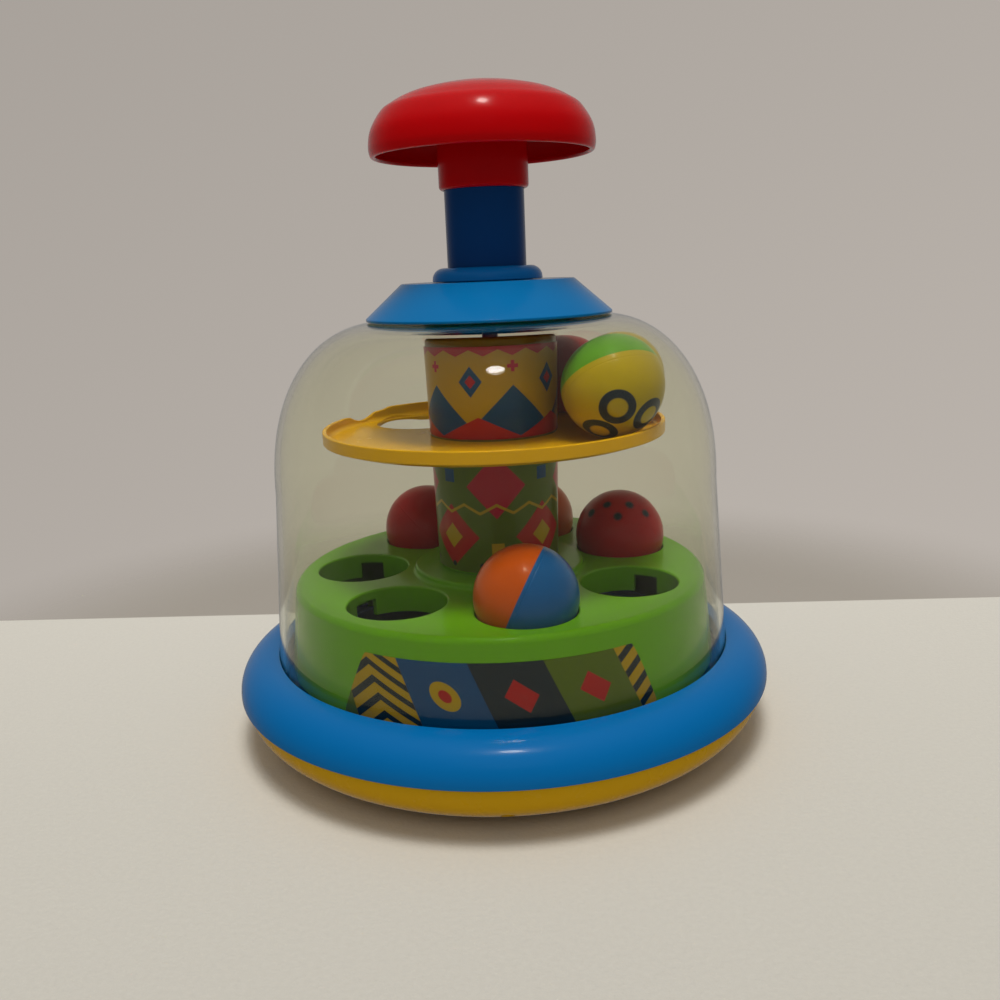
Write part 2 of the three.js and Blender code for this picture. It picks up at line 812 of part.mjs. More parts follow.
function upperColumnSolid() {
  const flangeTop = upperColumnBottom + columnFlangeDepth;
  const mouth = columnTop - columnShoulder;
  const tube = turned(
    [
      [columnFlangeBore, upperColumnBottom],
      [columnRadiusAt(upperColumnBottom), upperColumnBottom],
      [columnRadiusAt(mouth), mouth],
      ...arc(columnTopRadius - columnShoulder, mouth, columnShoulder, 0, 90, 3).slice(1),
      [columnInnerAt(mouth), mouth - columnShoulder],
      [columnInnerAt(flangeTop), flangeTop],
      [columnFlangeBore, flangeTop],
    ],
    midSides,
  );
  const hole = rodShape(screwHoleRadius, upperColumnBottom - overrun, flangeTop + overrun, smallSides);
  return cut(tube, ringOf(hole, columnScrewCount, columnScrewPitch, 0));
}

// A bar bent round the z axis: heightAt gives its bottom and top at each angle
function bentBar(inner, outer, from, to, steps, heightAt) {
  const rings = Array.from({ length: steps + 1 }, (_, i) => {
    const degrees = THREE.MathUtils.lerp(from, to, i / steps);
    const angle = THREE.MathUtils.degToRad(degrees);
    const [bottom, top] = heightAt(degrees);
    return [[inner, bottom], [outer, bottom], [outer, top], [inner, top]].map(([r, z]) => {
      const radius = typeof r === "function" ? r(z) : r;
      return [radius * Math.cos(angle), radius * Math.sin(angle), z];
    });
  });
  return solidOf(loft(rings));
}

// Tray: a dish with a low rim, a raised wall and a dip beside the drop hole, and a ledge in the middle
function traySolid() {
  const floorBottom = trayFloor - trayFloorThickness;
  const skin = trayRecess + trayFloorThickness / 2;
  const dish = turned(
    [
      [trayLedgeBore, ledgeBottom],
      [skin, ledgeBottom],
      [skin + trayLedge / 2, floorBottom],
      [trayRadius - trayUndercut, floorBottom],
      [trayRadius - trayFloorThickness / 2, trayRimBottom],
      [trayRadius, trayRimBottom + trayRimRound],
      [trayRadius, trayRimTop - trayRimRound],
      [trayRadius - trayRimRound, trayRimTop],
      [trayInnerRadius + trayRimRound, trayRimTop],
      [trayInnerRadius, trayRimTop - trayRimRound],
      [trayInnerRadius - trayFillet / 4, trayFloor + trayFillet / 2],
      [trayInnerRadius - trayFillet, trayFloor],
      [trayRecess, trayFloor],
      [trayRecess, ledgeTop],
      [trayLedgeBore, ledgeTop],
    ],
    wideSides,
  );
  const wallSteps = Math.ceil((trayWallEnd - trayWallStart) / trayArcStep);
  const wall = bentBar(
    trayInnerRadius + trayRimRound / 2, trayRadius - trayRimRound / 2, trayWallStart, trayWallEnd, wallSteps,
    (degrees) => {
      const inside = Math.min(degrees - trayWallStart, trayWallEnd - degrees);
      const rise = Math.min(inside / trayWallRamp, 1);
      const low = trayRimTop - trayRimRound;
      return [trayFloor, THREE.MathUtils.lerp(low, trayWallTop, rise)];
    },
  );
  const dipSteps = Math.ceil((trayDipEnd - trayDipStart) / trayArcStep) * 2;
  const dip = bentBar(
    trayInnerRadius - trayRimWall, trayRadius + overrun, trayDipStart, trayDipEnd, dipSteps,
    (degrees) => {
      const along = (degrees - trayDipStart) / (trayDipEnd - trayDipStart);
      const depth = trayDipDepth * Math.sin(Math.PI * along);
      return [trayRimTop - depth, trayRimTop + overrun];
    },
  );
  const hole = rodShape(dropHoleRadius, ledgeBottom - overrun, trayFloor + overrun, midSides);
  const screwHole = rodShape(screwHoleRadius, ledgeBottom - overrun, ledgeTop + overrun, smallSides);
  return cut(
    joined(dish, wall),
    dip,
    solidOf(spun(hole, dropHolePitch, dropHoleAngle)),
    ringOf(screwHole, columnScrewCount, columnScrewPitch, 0),
  );
}

function columnLabel(bottom, top) {
  return turned(
    [
      [columnRadiusAt(bottom) + seatGap, bottom],
      [columnRadiusAt(bottom) + seatGap + labelThickness, bottom],
      [columnRadiusAt(top) + seatGap + labelThickness, top],
      [columnRadiusAt(top) + seatGap, top],
    ],
    midSides,
  );
}

// Skirt label: wider at its foot than at its top, with rounded top corners
function skirtLabel(middle) {
  const inner = (z) => skirtRadiusAt(z) + seatGap;
  const outer = (z) => inner(z) + labelThickness;
  const half = skirtLabelBottomHalfAngle;
  return bentBar(inner, outer, middle - half, middle + half, skirtLabelSteps, (degrees) => {
    const along = (half - Math.abs(degrees - middle)) / (half - skirtLabelTopHalfAngle);
    const share = 1 - (1 - THREE.MathUtils.clamp(along, 0, 1)) ** skirtLabelCurve;
    const low = skirtLabelBottom + skirtLabelEndHeight;
    return [skirtLabelBottom, THREE.MathUtils.lerp(low, skirtLabelTop, share)];
  });
}

// Clutch: a cup on the column's shelf, the nut that the spindle turns in it, and a cover
function clutchCupSolid() {
  const floorBottom = shelfTop + seatGap;
  const outer = columnInnerAt(floorBottom) - seatGap;
  const bore = postRadius + slideGap;
  const sleeveRadius = clutchShelfBore - seatGap;
  const cup = turned(
    [
      [bore, floorBottom - clutchCupSleeve],
      [sleeveRadius, floorBottom - clutchCupSleeve],
      [sleeveRadius, floorBottom],
      [outer, floorBottom],
      [outer, clutchCupTop],
      [nutTopRadius + slideGap, clutchCupTop],
      [nutTopRadius + slideGap, nutTop],
      [nutRadius + slideGap, nutBottom],
      [nutRadius + slideGap, clutchFloorTop],
      [spindlePass, clutchFloorTop],
      [spindlePass, floorBottom],
      [bore, floorBottom],
    ],
    midSides,
  );
  const hole = rodShape(screwHoleRadius, floorBottom - overrun, clutchCupTop + overrun, smallSides);
  return cut(cup, ringOf(hole, columnScrewCount, clutchScrewPitch, 0));
}

function clutchCoverSolid() {
  const outer = columnInnerAt(shelfTop) - seatGap;
  const bottom = clutchCupTop + seatGap;
  const cover = sleeve(outer, spindlePass, bottom, clutchCoverTop, midSides);
  const hole = rodShape(screwHoleRadius, bottom - overrun, clutchCoverTop + overrun, smallSides);
  return cut(cover, ringOf(hole, columnScrewCount, clutchScrewPitch, 0));
}

// A flat bar twisted about the z axis, one turn in each lead, always in step with its height
function twistedBar(width, thickness, bottom, top) {
  const pitch = spindleLead / spindleSteps;
  const levels = [bottom];
  for (let i = Math.floor(bottom / pitch) + 1; i * pitch < top; i += 1) levels.push(i * pitch);
  levels.push(top);
  const cornerShares = [[-1, -1], [1, -1], [1, 1], [-1, 1]];
  const rings = levels.map((z) => {
    const angle = (2 * Math.PI * z) / spindleLead;
    return cornerShares.map(([across, through]) => {
      const x = (across * width) / 2;
      const y = (through * thickness) / 2;
      return [x * Math.cos(angle) - y * Math.sin(angle), x * Math.sin(angle) + y * Math.cos(angle), z];
    });
  });
  return solidOf(loft(rings));
}

function twistedSlot(bottom, top) {
  return twistedBar(spindleWidth + 2 * spindleGap, spindleThickness + 2 * spindleGap, bottom, top);
}

function nutSolid() {
  const body = turned(
    [[0, nutBottom], [nutRadius, nutBottom], [nutTopRadius, nutTop], [0, nutTop]],
    midSides,
  );
  return cut(body, twistedSlot(nutBottom - overrun, nutTop + overrun));
}

// Knob: a shallow dome with a neck and a screw boss on its underside
const knobOutlineShares = [
  [0.984, 0], [1, 0.146], [0.974, 0.38], [0.885, 0.614], [0.804, 0.711],
  [0.7, 0.8], [0.564, 0.875], [0.3, 0.965], [0, 1],
];

function knobOutline(wall) {
  const radius = knobRadius - wall;
  const height = knobTop - knobRimBottom - wall;
  return knobOutlineShares.map(([r, z]) => [r * radius, knobRimBottom + z * height]);
}

function knobSolid() {
  const shell = turned([...knobOutline(0), ...knobOutline(knobWall).reverse()], midSides);
  const full = turned([[0, neckBottom], [neckRadius, neckBottom], ...knobOutline(0)], midSides);
  const neckBore = tubeRadius + seatGap;
  const neck = turned(
    [
      [neckBore, neckBottom],
      [neckRadius - neckRound, neckBottom],
      [neckRadius, neckBottom + neckRound],
      [neckRadius, knobTop],
      [neckBore, knobTop],
    ],
    midSides,
  );
  const boss = rod(knobBossRadius, tubeWebTop + seatGap, knobTop, smallSides);
  const inner = joined(neck, boss).intersect(full);
  const hole = rod(screwHoleRadius, tubeWebTop - overrun, tubeWebTop + knobScrewGrip + overrun, smallSides);
  return cut(joined(shell, inner), hole);
}

function tubeSolid() {
  const bore = tubeRadius - tubeWall;
  return turned(
    [
      [bore, tubeBottom],
      [tubeStopRadius, tubeBottom],
      [tubeStopRadius, tubeStopTop],
      [tubeRadius, tubeStopTop],
      [tubeRadius, tubeTop],
      [bore, tubeTop],
      [bore, tubeWebTop],
      [screwHoleRadius, tubeWebTop],
      [screwHoleRadius, tubeWebTop - tubeWebThickness],
      [bore, tubeWebTop - tubeWebThickness],
    ],
    midSides,
  );
}

function plugSolid() {
  const body = rod(tubeRadius - tubeWall - seatGap, tubeBottom, tubeBottom + plugHeight, midSides);
  return cut(body, twistedSlot(tubeBottom - overrun, spindleTop + seatGap));
}

function spindleFootSolid() {
  const body = rod(postBore - slideGap, spindleFootBottom, spindleFootTop, midSides);
  return cut(body, twistedSlot(spindleBottom - seatGap, spindleFootTop + overrun));
}

// Return spring: open coils between two close end turns
const springRadius = postBore - slideGap - springWire;

function springCentre(turn) {
  const bottom = bowlWall + seatGap + springWire / 2;
  const top = springTopHeight - springWire / 2;
  const openPitch = (top - bottom - 2 * springEndRise) / (springTurns - 2);
  const openTurns = THREE.MathUtils.clamp(turn - 1, 0, springTurns - 2);
  const endTurns = turn - openTurns;
  const angle = 2 * Math.PI * turn;
  const z = bottom + endTurns * springEndRise + openTurns * openPitch;
  return [springRadius * Math.cos(angle), springRadius * Math.sin(angle), z];
}

function springSolid() {
  const rings = Array.from({ length: springTurns * springSteps + 1 }, (_, i) => {
    const [x, y, z] = springCentre(i / springSteps);
    const angle = (2 * Math.PI * i) / springSteps;
    return Array.from({ length: springSides }, (_unused, s) => {
      const round = (2 * Math.PI * s) / springSides;
      const out = (springWire / 2) * Math.cos(round);
      return [x + out * Math.cos(angle), y + out * Math.sin(angle), z + (springWire / 2) * Math.sin(round)];
    });
  });
  return solidOf(loft(rings));
}

function springLeastGap() {
  const points = Array.from({ length: springTurns * springSteps + 1 }, (_, i) =>
    new THREE.Vector3(...springCentre(i / springSteps)),
  );
  let least = Infinity;
  points.forEach((p, i) => {
    points.slice(i + springSteps / 2).forEach((q) => {
      least = Math.min(least, p.distanceTo(q) - springWire);
    });
  });
  return least;
}

function ballSolid(pitch, degrees, height) {
  const sphere = new THREE.SphereGeometry(ballRadius, ballColumns, ballRows);
  sphere.rotateX(Math.PI / 2).translate(0, 0, height);
  return solidOf(spun(sphere, pitch, degrees));
}

// Parts that stand still
const stand = subGroup("stand");
piece(stand, "base_bowl", bowlSolid(), yellowPlastic);
piece(stand, "clamp_ring", ringSolid(), bluePlastic);
piece(stand, "deck", deckSolid(), navyPlastic);
piece(stand, "clear_dome", domeSolid(), clearPlastic);
piece(stand, "cone_cap", capSolid(), bluePlastic);
piece(stand, "guide_collar", collarSolid(), navyPlastic);
piece(stand, "centre_post", postSolid(), whitePlastic);
piece(
  stand, "thrust_washer",
  sleeve(washerRadius, postRadius + seatGap, washerBottom, washerBottom + washerThickness, midSides), steel,
);
screws(
  stand, "ring_screw",
  ringScrewShoulder - seatGap - screwHeadHeight, bowlHeight + ringScrewGrip,
  ringScrewCount, ringScrewPitch, ringScrewPhase,
);
screws(
  stand, "deck_screw",
  deckTop + seatGap + screwHeadHeight, deckTop - deckScrewLength,
  deckScrewCount, deckScrewPitch, 0,
);

// Parts that turn with the carousel
const carousel = subGroup("carousel");
piece(carousel, "carousel_disc", discSolid(), greenPlastic);
piece(carousel, "hub_bush", hubBushSolid(), whitePlastic);
piece(carousel, "column_lower", lowerColumnSolid(), greenPlastic);
piece(carousel, "drop_tray", traySolid(), yellowPlastic);
piece(carousel, "column_upper", upperColumnSolid(), greenPlastic);
piece(carousel, "clutch_cup", clutchCupSolid(), whitePlastic);
piece(carousel, "clutch_cover", clutchCoverSolid(), whitePlastic);
piece(
  carousel, "column_label_lower",
  columnLabel(columnBottom + labelFootMargin, lowerColumnTop - labelFootMargin), labelFilm,
);
piece(
  carousel, "column_label_upper",
  columnLabel(trayFloor + labelFootMargin, columnTop - columnShoulder - labelMargin), labelFilm,
);
for (let i = 0; i < skirtLabelCount; i += 1) {
  const middle = skirtLabelMiddleAngle + (fullTurn * i) / skirtLabelCount;
  piece(carousel, `skirt_label_${i + 1}`, skirtLabel(middle), labelFilm);
}
screws(
  carousel, "column_screw",
  plateBottom - seatGap - screwHeadHeight, columnBottom + columnScrewGrip,
  columnScrewCount, columnScrewPitch, 0,
);
screws(
  carousel, "tray_screw",
  lowerColumnTop - columnFlangeDepth - seatGap - screwHeadHeight, upperColumnBottom + columnScrewGrip,
  columnScrewCount, columnScrewPitch, 0,
);
screws(
  carousel, "clutch_screw",
  clutchCoverTop + seatGap + screwHeadHeight, shelfTop - clutchScrewGrip,
  columnScrewCount, clutchScrewPitch, 0,
);

// Parts that go down with the knob
const plunger = subGroup("plunger");
piece(plunger, "push_knob", knobSolid(), redPlastic);
piece(plunger, "plunger_tube", tubeSolid(), navyPlastic);
piece(plunger, "spindle_plug", plugSolid(), whitePlastic);
const spindleSolid = twistedBar(spindleWidth, spindleThickness, spindleBottom, spindleTop);
piece(plunger, "twisted_spindle", spindleSolid, steel);
piece(plunger, "spindle_foot", spindleFootSolid(), whitePlastic);
screws(
  plunger, "knob_screw",
  tubeWebTop - tubeWebThickness - seatGap - screwHeadHeight, tubeWebTop + knobScrewGrip, 1, 0, 0,
);
piece(plunger, "return_spring", springSolid(), steel);
console.log(`return_spring: least gap to itself ${springLeastGap().toFixed(2)} mm`);

const clutch = subGroup("clutch");
piece(clutch, "drive_nut", nutSolid(), whitePlastic);

// Balls: four sit in wells and three wait on the tray
const balls = subGroup("balls");
const filledWells = [
  { name: "well_ball_front", well: -1, material: orangePlastic },
  { name: "well_ball_right", well: 1, material: redPlastic },
  { name: "well_ball_back", well: 2, material: orangePlastic },
  { name: "well_ball_left", well: 3, material: redPlastic },
];
for (const { name, well, material } of filledWells) {
  const degrees = wellPhase + (fullTurn * well) / wellCount;
  piece(balls, name, ballSolid(wellPitch, degrees, discTop + seatHeight), material);
}
const trayBallMaterials = [yellowPlastic, orangePlastic, redPlastic];
for (let i = 0; i < trayBallCount; i += 1) {
  const solid = ballSolid(trayBallPitch, trayBallStart + i * trayBallStep, trayBallHeight);
  piece(balls, `tray_ball_${i + 1}`, solid, trayBallMaterials[i]);
}

export default tower;
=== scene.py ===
"""Ball drop tower: the finished look of a push-and-spin ball tower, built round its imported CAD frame."""

import json
import math

import bmesh
import bpy
import numpy as np
from bpy.props import FloatProperty, FloatVectorProperty, IntProperty, PointerProperty
from bpy.types import Operator, Panel, PropertyGroup
from mathutils import Matrix, Vector


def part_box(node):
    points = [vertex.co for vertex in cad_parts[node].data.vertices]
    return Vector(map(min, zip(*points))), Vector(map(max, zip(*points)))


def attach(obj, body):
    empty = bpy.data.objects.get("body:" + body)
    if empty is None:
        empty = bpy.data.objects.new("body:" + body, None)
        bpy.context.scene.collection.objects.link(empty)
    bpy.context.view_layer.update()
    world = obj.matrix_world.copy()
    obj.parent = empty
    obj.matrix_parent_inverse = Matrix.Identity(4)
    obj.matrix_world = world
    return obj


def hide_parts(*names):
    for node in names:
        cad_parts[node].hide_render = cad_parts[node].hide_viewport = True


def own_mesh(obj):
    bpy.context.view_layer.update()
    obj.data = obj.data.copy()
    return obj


bl_info = {
    "name": "Ball drop tower",
    "version": (1, 0, 0),
    "blender": (4, 5, 0),
    "location": "View3D > Sidebar > Ball tower",
    "description": "Adds the moulded shells, labels, balls and finishes of a ball drop tower",
    "category": "Add Mesh",
}

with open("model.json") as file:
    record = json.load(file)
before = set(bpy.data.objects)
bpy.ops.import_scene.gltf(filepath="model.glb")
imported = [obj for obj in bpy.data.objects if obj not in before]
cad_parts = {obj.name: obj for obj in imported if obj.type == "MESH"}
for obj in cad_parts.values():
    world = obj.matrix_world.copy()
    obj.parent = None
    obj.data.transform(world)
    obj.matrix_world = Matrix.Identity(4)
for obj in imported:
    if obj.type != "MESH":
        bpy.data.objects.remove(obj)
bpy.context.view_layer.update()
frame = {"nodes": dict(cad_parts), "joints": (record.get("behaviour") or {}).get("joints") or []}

MM = 0.001
# Points nearer than WELD are one, and pieces that meet stand SEAT apart
WELD = 2e-6
SEAT = 0.3 * MM
# A tool runs past what it cuts by OVERRUN, and a printed film is as thick as FILM
OVERRUN = 1 * MM
FILM = 0.35 * MM
# Sides of a full turn, steps of an arc, and the bend from which an edge is sharp
SIDES = 144
ARC_STEPS = 6
CREASE = math.radians(32)

# Roundings of moulded edges, from crisp to soft
CRISP = 0.3 * MM
EASED = 0.5 * MM
SOFT = 0.6 * MM
FULL = 0.8 * MM


# Sizes read from the frame


def reach(node):
    """A turned node's greatest radius, lowest height and highest height, from its box."""
    low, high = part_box(node)
    return max(high.x, high.y), low.z, high.z


def middle(node):
    """The middle of a node's box, and half its height."""
    low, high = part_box(node)
    return np.array((low + high) / 2), (high.z - low.z) / 2


# Colours and settings


def paint(red, green, blue):
    """A display colour of 0 to 255 as linear light.

    For a share c of full light it is ((c + 0.055) / 1.055)^2.4, and c / 12.92 near black."""
    shares = np.array([red, green, blue]) / 255
    return tuple(np.where(shares > 0.04045, ((shares + 0.055) / 1.055) ** 2.4, shares / 12.92))


def length(name, size, description):
    """A length in metres."""
    return FloatProperty(name=name, description=description, default=size, min=0, precision=5, unit="LENGTH")


def turn(name, degrees, description):
    """An angle about the tower's axis."""
    return FloatProperty(name=name, description=description, default=math.radians(degrees), subtype="ANGLE")


def strength(name, default, description):
    """A lamp's power, a light's strength or a share of one."""
    return FloatProperty(name=name, description=description, default=default, min=0)


def colour(name, default, description):
    """A colour in linear light."""
    return FloatVectorProperty(
        name=name, description=description, default=default, size=3, min=0, max=1, subtype="COLOR"
    )


class BaseSettings(PropertyGroup):
    foot: length("Foot radius", 87 * MM, "Radius of the bowl's flat underside")
    wall: length("Wall", 2.6 * MM, "Thickness of the bowl and ring")
    bulge: length("Bulge", 16.9 * MM, "How far the ring's band reaches out from its crest")
    hem: length("Hem", 1.1 * MM, "Height of the ring's upright lower edge")
    spigot: length("Spigot", 3 * MM, "Depth of the ring's spigot in the bowl")
    lip: length("Lip", 1 * MM, "Rounding of the ring's edge beside the dome")
    shelf: length("Shelf", 2.8 * MM, "Height over the dome's foot of the ledge that holds it down")
    overhang: length("Overhang", 6 * MM, "Width of the ring's underside")
    web: length("Web", 1.5 * MM, "Thickness of the ring's underside")
    kerb_height: length("Kerb height", 4 * MM, "Height of the kerb round the deck")
    kerb_width: length("Kerb width", 6.6 * MM, "Width of the kerb round the deck")
    deck_bore: length("Deck bore", 11.3 * MM, "Radius of the hole in the deck")
    screw_pitch: length("Screw pitch", 116.05 * MM, "Distance of the ring screws from the axis")
    screw_recess: length("Screw recess", 3 * MM, "Radius of the recess under each ring screw")
    screw_floor: length("Screw floor", 8 * MM, "Height of the bowl's pillars over their recesses")
    screw_count: IntProperty(name="Screws", description="Number of ring screws", default=6, min=1)
    bowl_colour: colour("Bowl", paint(208, 160, 0), "Yellow of the bowl")
    ring_colour: colour("Ring", paint(0, 108, 178), "Blue of the ring")
    # Painted shade: the deck's dark navy paints in the shade it lies in under the disc
    deck_colour_painted_shade: colour("Deck", paint(14, 44, 78), "Navy of the deck")


class DomeSettings(PropertyGroup):
    wall: length("Wall", 2.4 * MM, "Thickness of the dome")
    flange: length("Flange", 3.6 * MM, "Width of the flange at the foot")
    flange_height: length("Flange height", 2.5 * MM, "Thickness of the flange at the foot")
    taper: length("Taper", 5.6 * MM, "How much the wall leans in up to the shoulder")
    rise: length("Rise", 75.2 * MM, "Height of the rounded shoulder under the crown")
    crown: length("Crown radius", 50 * MM, "Radius of the flat crown")
    bore: length("Bore", 36.3 * MM, "Radius of the hole in the crown")
    ring_gap: length("Ring gap", 0.05 * MM, "Gap between the wall and the ring")
    roundness: FloatProperty(name="Roundness", description="Exponent of the shoulder", default=2.2, min=1)
    tint: colour("Tint", (0.935, 0.94, 0.835), "Warm tint of the clear plastic")


class TopSettings(PropertyGroup):
    cap_slope: length("Slope", 17 * MM, "How far the cap spreads from its top to its edge")
    cap_hem: length("Hem", 1.2 * MM, "Height of the cap's upright edge")
    cap_wall: length("Cap wall", 2.4 * MM, "Thickness of the cap")
    cap_edge: length("Cap edge", 1.6 * MM, "Rounding of the cap's upper edge")
    spigot: length("Spigot radius", 36 * MM, "Radius of the cap's spigot in the dome")
    bore: length("Bore", 18.4 * MM, "Radius of the hole that guides the tube")
    sleeve: length("Sleeve radius", 20.8 * MM, "Radius of the collar's sleeve in the cap")
    cap_height: length("Cap height", 16.2 * MM, "Height of the cap over the dome")
    collar_height: length("Collar height", 6.3 * MM, "Height of the collar over the cap")
    collar_edge: length("Collar edge", 5.2 * MM, "Rounding of the collar's upper edge")
    cap_colour: colour("Cap", paint(0, 113, 178), "Blue of the cap")
    collar_colour: colour("Collar", paint(0, 114, 190), "Blue of the collar")


class PlungerSettings(PropertyGroup):
    knob_height: length("Knob height", 30.8 * MM, "Height of the knob over its rim")
    knob_wall: length("Knob wall", 2.6 * MM, "Thickness of the knob")
    neck: length("Neck radius", 20.2 * MM, "Radius of the knob's neck")
    neck_edge: length("Neck edge", 1.7 * MM, "Rounding of the neck's lower edge")
    tube: length("Tube radius", 18 * MM, "Radius of the push tube")
    tube_wall: length("Tube wall", 2.2 * MM, "Thickness of the push tube")
    stop_height: length("Stop height", 3.5 * MM, "Height of the tube's stop flange")
    wire: length("Wire", 1.2 * MM, "Thickness of the return spring's wire")
    coils: IntProperty(name="Coils", description="Number of turns of the return spring", default=8, min=4)
    end_rise: length("End rise", 1.8 * MM, "Rise of each of the spring's close end turns")
    knob_colour: colour("Knob", paint(190, 0, 6), "Red of the knob")
    # Painted shade: the tube's navy is the collar's blue darkened for the knob's shadow on it
    tube_colour_painted_shade: colour("Tube", paint(0, 58, 116), "Navy of the tube")


class CarouselSettings(PropertyGroup):
    wells: IntProperty(name="Wells", description="Number of wells", default=7, min=3)
    pitch: length("Pitch", 67.6 * MM, "Distance of the wells from the axis")
    well: length("Well radius", 22 * MM, "Radius of a well")
    phase: turn("Phase", -29.1, "Direction of the first well")
    cup_wall: length("Cup wall", 2.2 * MM, "Thickness of a well's cup")
    cup_depth: length("Cup depth", 12.3 * MM, "Depth of a well's cup under the disc's top")
    window_width: length("Window width", 11.5 * MM, "Width of the two windows in a cup's sides")
    window_height: length("Window height", 8 * MM, "Height of the window over the cup's lower edge")
    boss_height: length("Boss height", 3.2 * MM, "Height of the boss under the column")
    boss: length("Boss radius", 41 * MM, "Radius of the boss under the column")
    boss_edge: length("Boss edge", 1.1 * MM, "Rounding of the boss's upper edge")
    boss_fillet: length("Boss fillet", 1.5 * MM, "Rounding between the disc's top and the boss")
    hub: length("Hub radius", 17.2 * MM, "Radius of the hub under the disc")
    hub_bore: length("Hub bore", 14.3 * MM, "Radius of the hole through the hub")
    lip: length("Lip", 1 * MM, "Rounding of a well's edge")
    plate: length("Plate", 2.8 * MM, "Thickness of the disc's top")
    edge: length("Edge", 3 * MM, "Rounding of the disc's edge")
    flare: length("Flare", 4.1 * MM, "How much the skirt spreads to its foot")
    skirt_foot: length("Skirt foot", 36 * MM, "Height of the skirt's lower edge")
    wall: length("Wall", 2.4 * MM, "Thickness of the skirt")
    column_foot: length("Column foot radius", 28.3 * MM, "Radius of the column where it stands")
    column_head: length("Column head radius", 30.5 * MM, "Radius of the column at its mouth")
    column_wall: length("Column wall", 2.2 * MM, "Thickness of the column")
    column_bore: length("Column bore", 18 * MM, "Radius of the hole through the column's floors")
    column_floor: length("Column floor", 6 * MM, "Thickness of the floor of the column's upper half")
    shoulder: length("Shoulder", 2.2 * MM, "Rounding of the column's mouth")
    disc_colour: colour("Disc", paint(99, 166, 2), "Green of the disc and column")
    mouth_colour: colour("Mouth", paint(116, 102, 26), "Olive of the column's upper half")


class TraySettings(PropertyGroup):
    floor: length("Floor", 142 * MM, "Height of the tray's floor")
    thickness: length("Thickness", 2.4 * MM, "Thickness of the tray's floor")
    rim_wall: length("Rim wall", 2 * MM, "Thickness of the rim")
    rim_height: length("Rim height", 5.2 * MM, "Height of the rim over the floor")
    rim_drop: length("Rim drop", 0.6 * MM, "Depth of the rim's underside under the floor")
    rim_foot: length("Rim foot", 1.2 * MM, "Width of the rim's underside")
    undercut: length("Undercut", 6 * MM, "Distance in from the rim to the foot of the slope under it")
    undercut_fillet: length("Undercut fillet", 2 * MM, "Rounding between that slope and the underside")
    fillet: length("Fillet", 2.5 * MM, "Rounding between the floor and the rim")
    upright: length("Upright", 1 * MM, "Least height of the rim over its fillet")
    wall_rise: length("Wall rise", 1.4 * MM, "Height of the raised wall over the rim")
    wall_start: turn("Wall start", 58, "Where the raised wall starts")
    wall_end: turn("Wall end", 139, "Where the raised wall ends")
    wall_ramp: turn("Wall ramp", 5, "Length of the wall's ramps")
    dip_start: turn("Dip start", 142, "Where the dip in the rim starts")
    dip_end: turn("Dip end", 158, "Where the dip in the rim ends")
    dip_depth: length("Dip depth", 3.2 * MM, "Depth of the dip in the rim")
    hole: length("Hole radius", 23.2 * MM, "Radius of the drop hole")
    hole_angle: turn("Hole angle", 133, "Direction of the drop hole")
    hole_edge: length("Hole edge", 0.7 * MM, "Rounding of the drop hole's edge")
    hole_reach: length("Hole reach", 6 * MM, "Height over the floor up to which the drop hole cuts the rim")
    ledge_bore: length("Ledge bore", 17 * MM, "Radius of the hole in the ledge that the column clamps")
    tray_colour: colour("Tray", paint(225, 171, 0), "Yellow of the tray")


class LabelSettings(PropertyGroup):
    yellow: colour("Yellow", paint(174, 142, 0), "Yellow ink")
    red: colour("Red", paint(166, 8, 14), "Red ink")
    blue: colour("Blue", paint(0, 66, 122), "Blue ink")
    green: colour("Green", paint(80, 100, 10), "Green ink")
    magenta: colour("Magenta", paint(170, 12, 50), "Magenta ink")
    dark: colour("Dark", paint(16, 30, 44), "Dark ink")
    top_half: turn("Top half angle", 33, "Half the angle of a skirt label's upper edge")
    bottom_half: turn("Bottom half angle", 39, "Half the angle of a skirt label's lower edge")
    end_height: length("End height", 1.5 * MM, "Height of a skirt label at its ends")
    first: turn("First label", -91, "Direction of the first skirt label's middle")


class BallSettings(PropertyGroup):
    seam: length("Seam", 0.1 * MM, "Depth of the groove where a ball's halves meet")
    seam_width: length("Seam width", 0.3 * MM, "Half the width of that groove")
    ring: length("Ring radius", 8 * MM, "Radius of a printed ring on the tray's front ball")
    ring_hole: length("Ring hole", 4.3 * MM, "Radius inside a printed ring")
    spot: length("Spot radius", 2.2 * MM, "Radius of a printed spot on the right ball")
    orange: colour("Orange", paint(189, 78, 0), "Orange of the balls")
    red: colour("Red", paint(164, 2, 14), "Red of the balls")
    blue: colour("Blue", paint(0, 82, 150), "Blue of the front ball's half")
    yellow: colour("Yellow", paint(174, 152, 0), "Yellow of the tray's front ball")
    green: colour("Green", paint(90, 152, 30), "Green of the tray's front ball")
    ink: colour("Ink", paint(18, 34, 50), "Dark ink of the printed rings")


class StageSettings(PropertyGroup):
    cloth: colour("Cloth", (0.725, 0.71, 0.655), "Colour of the cloth under the tower")
    shade: colour("Shade", (0.43, 0.4, 0.36), "Colour of the floor behind the cloth")
    wall: colour("Wall", paint(175, 168, 161), "Colour of the backdrop")
    cloth_edge: length("Cloth edge", 146 * MM, "Distance from the tower's axis back to the cloth's edge")
    sky: strength("Sky", 0.3, "Strength of the soft light from all round")
    key: strength("Key", 27, "Power of the lamp overhead")
    glint: strength("Glint", 5, "Power of the small lamp that shows in gloss")
    front_share: strength("Front share", 0.022, "Power of the lamp in front, as a share of the key's")


class TowerSettings(PropertyGroup):
    base: PointerProperty(type=BaseSettings)
    dome: PointerProperty(type=DomeSettings)
    top: PointerProperty(type=TopSettings)
    plunger: PointerProperty(type=PlungerSettings)
    carousel: PointerProperty(type=CarouselSettings)
    tray: PointerProperty(type=TraySettings)
    labels: PointerProperty(type=LabelSettings)
    balls: PointerProperty(type=BallSettings)
    stage: PointerProperty(type=StageSettings)


# Profiles: arrays of points, each a radius and a height


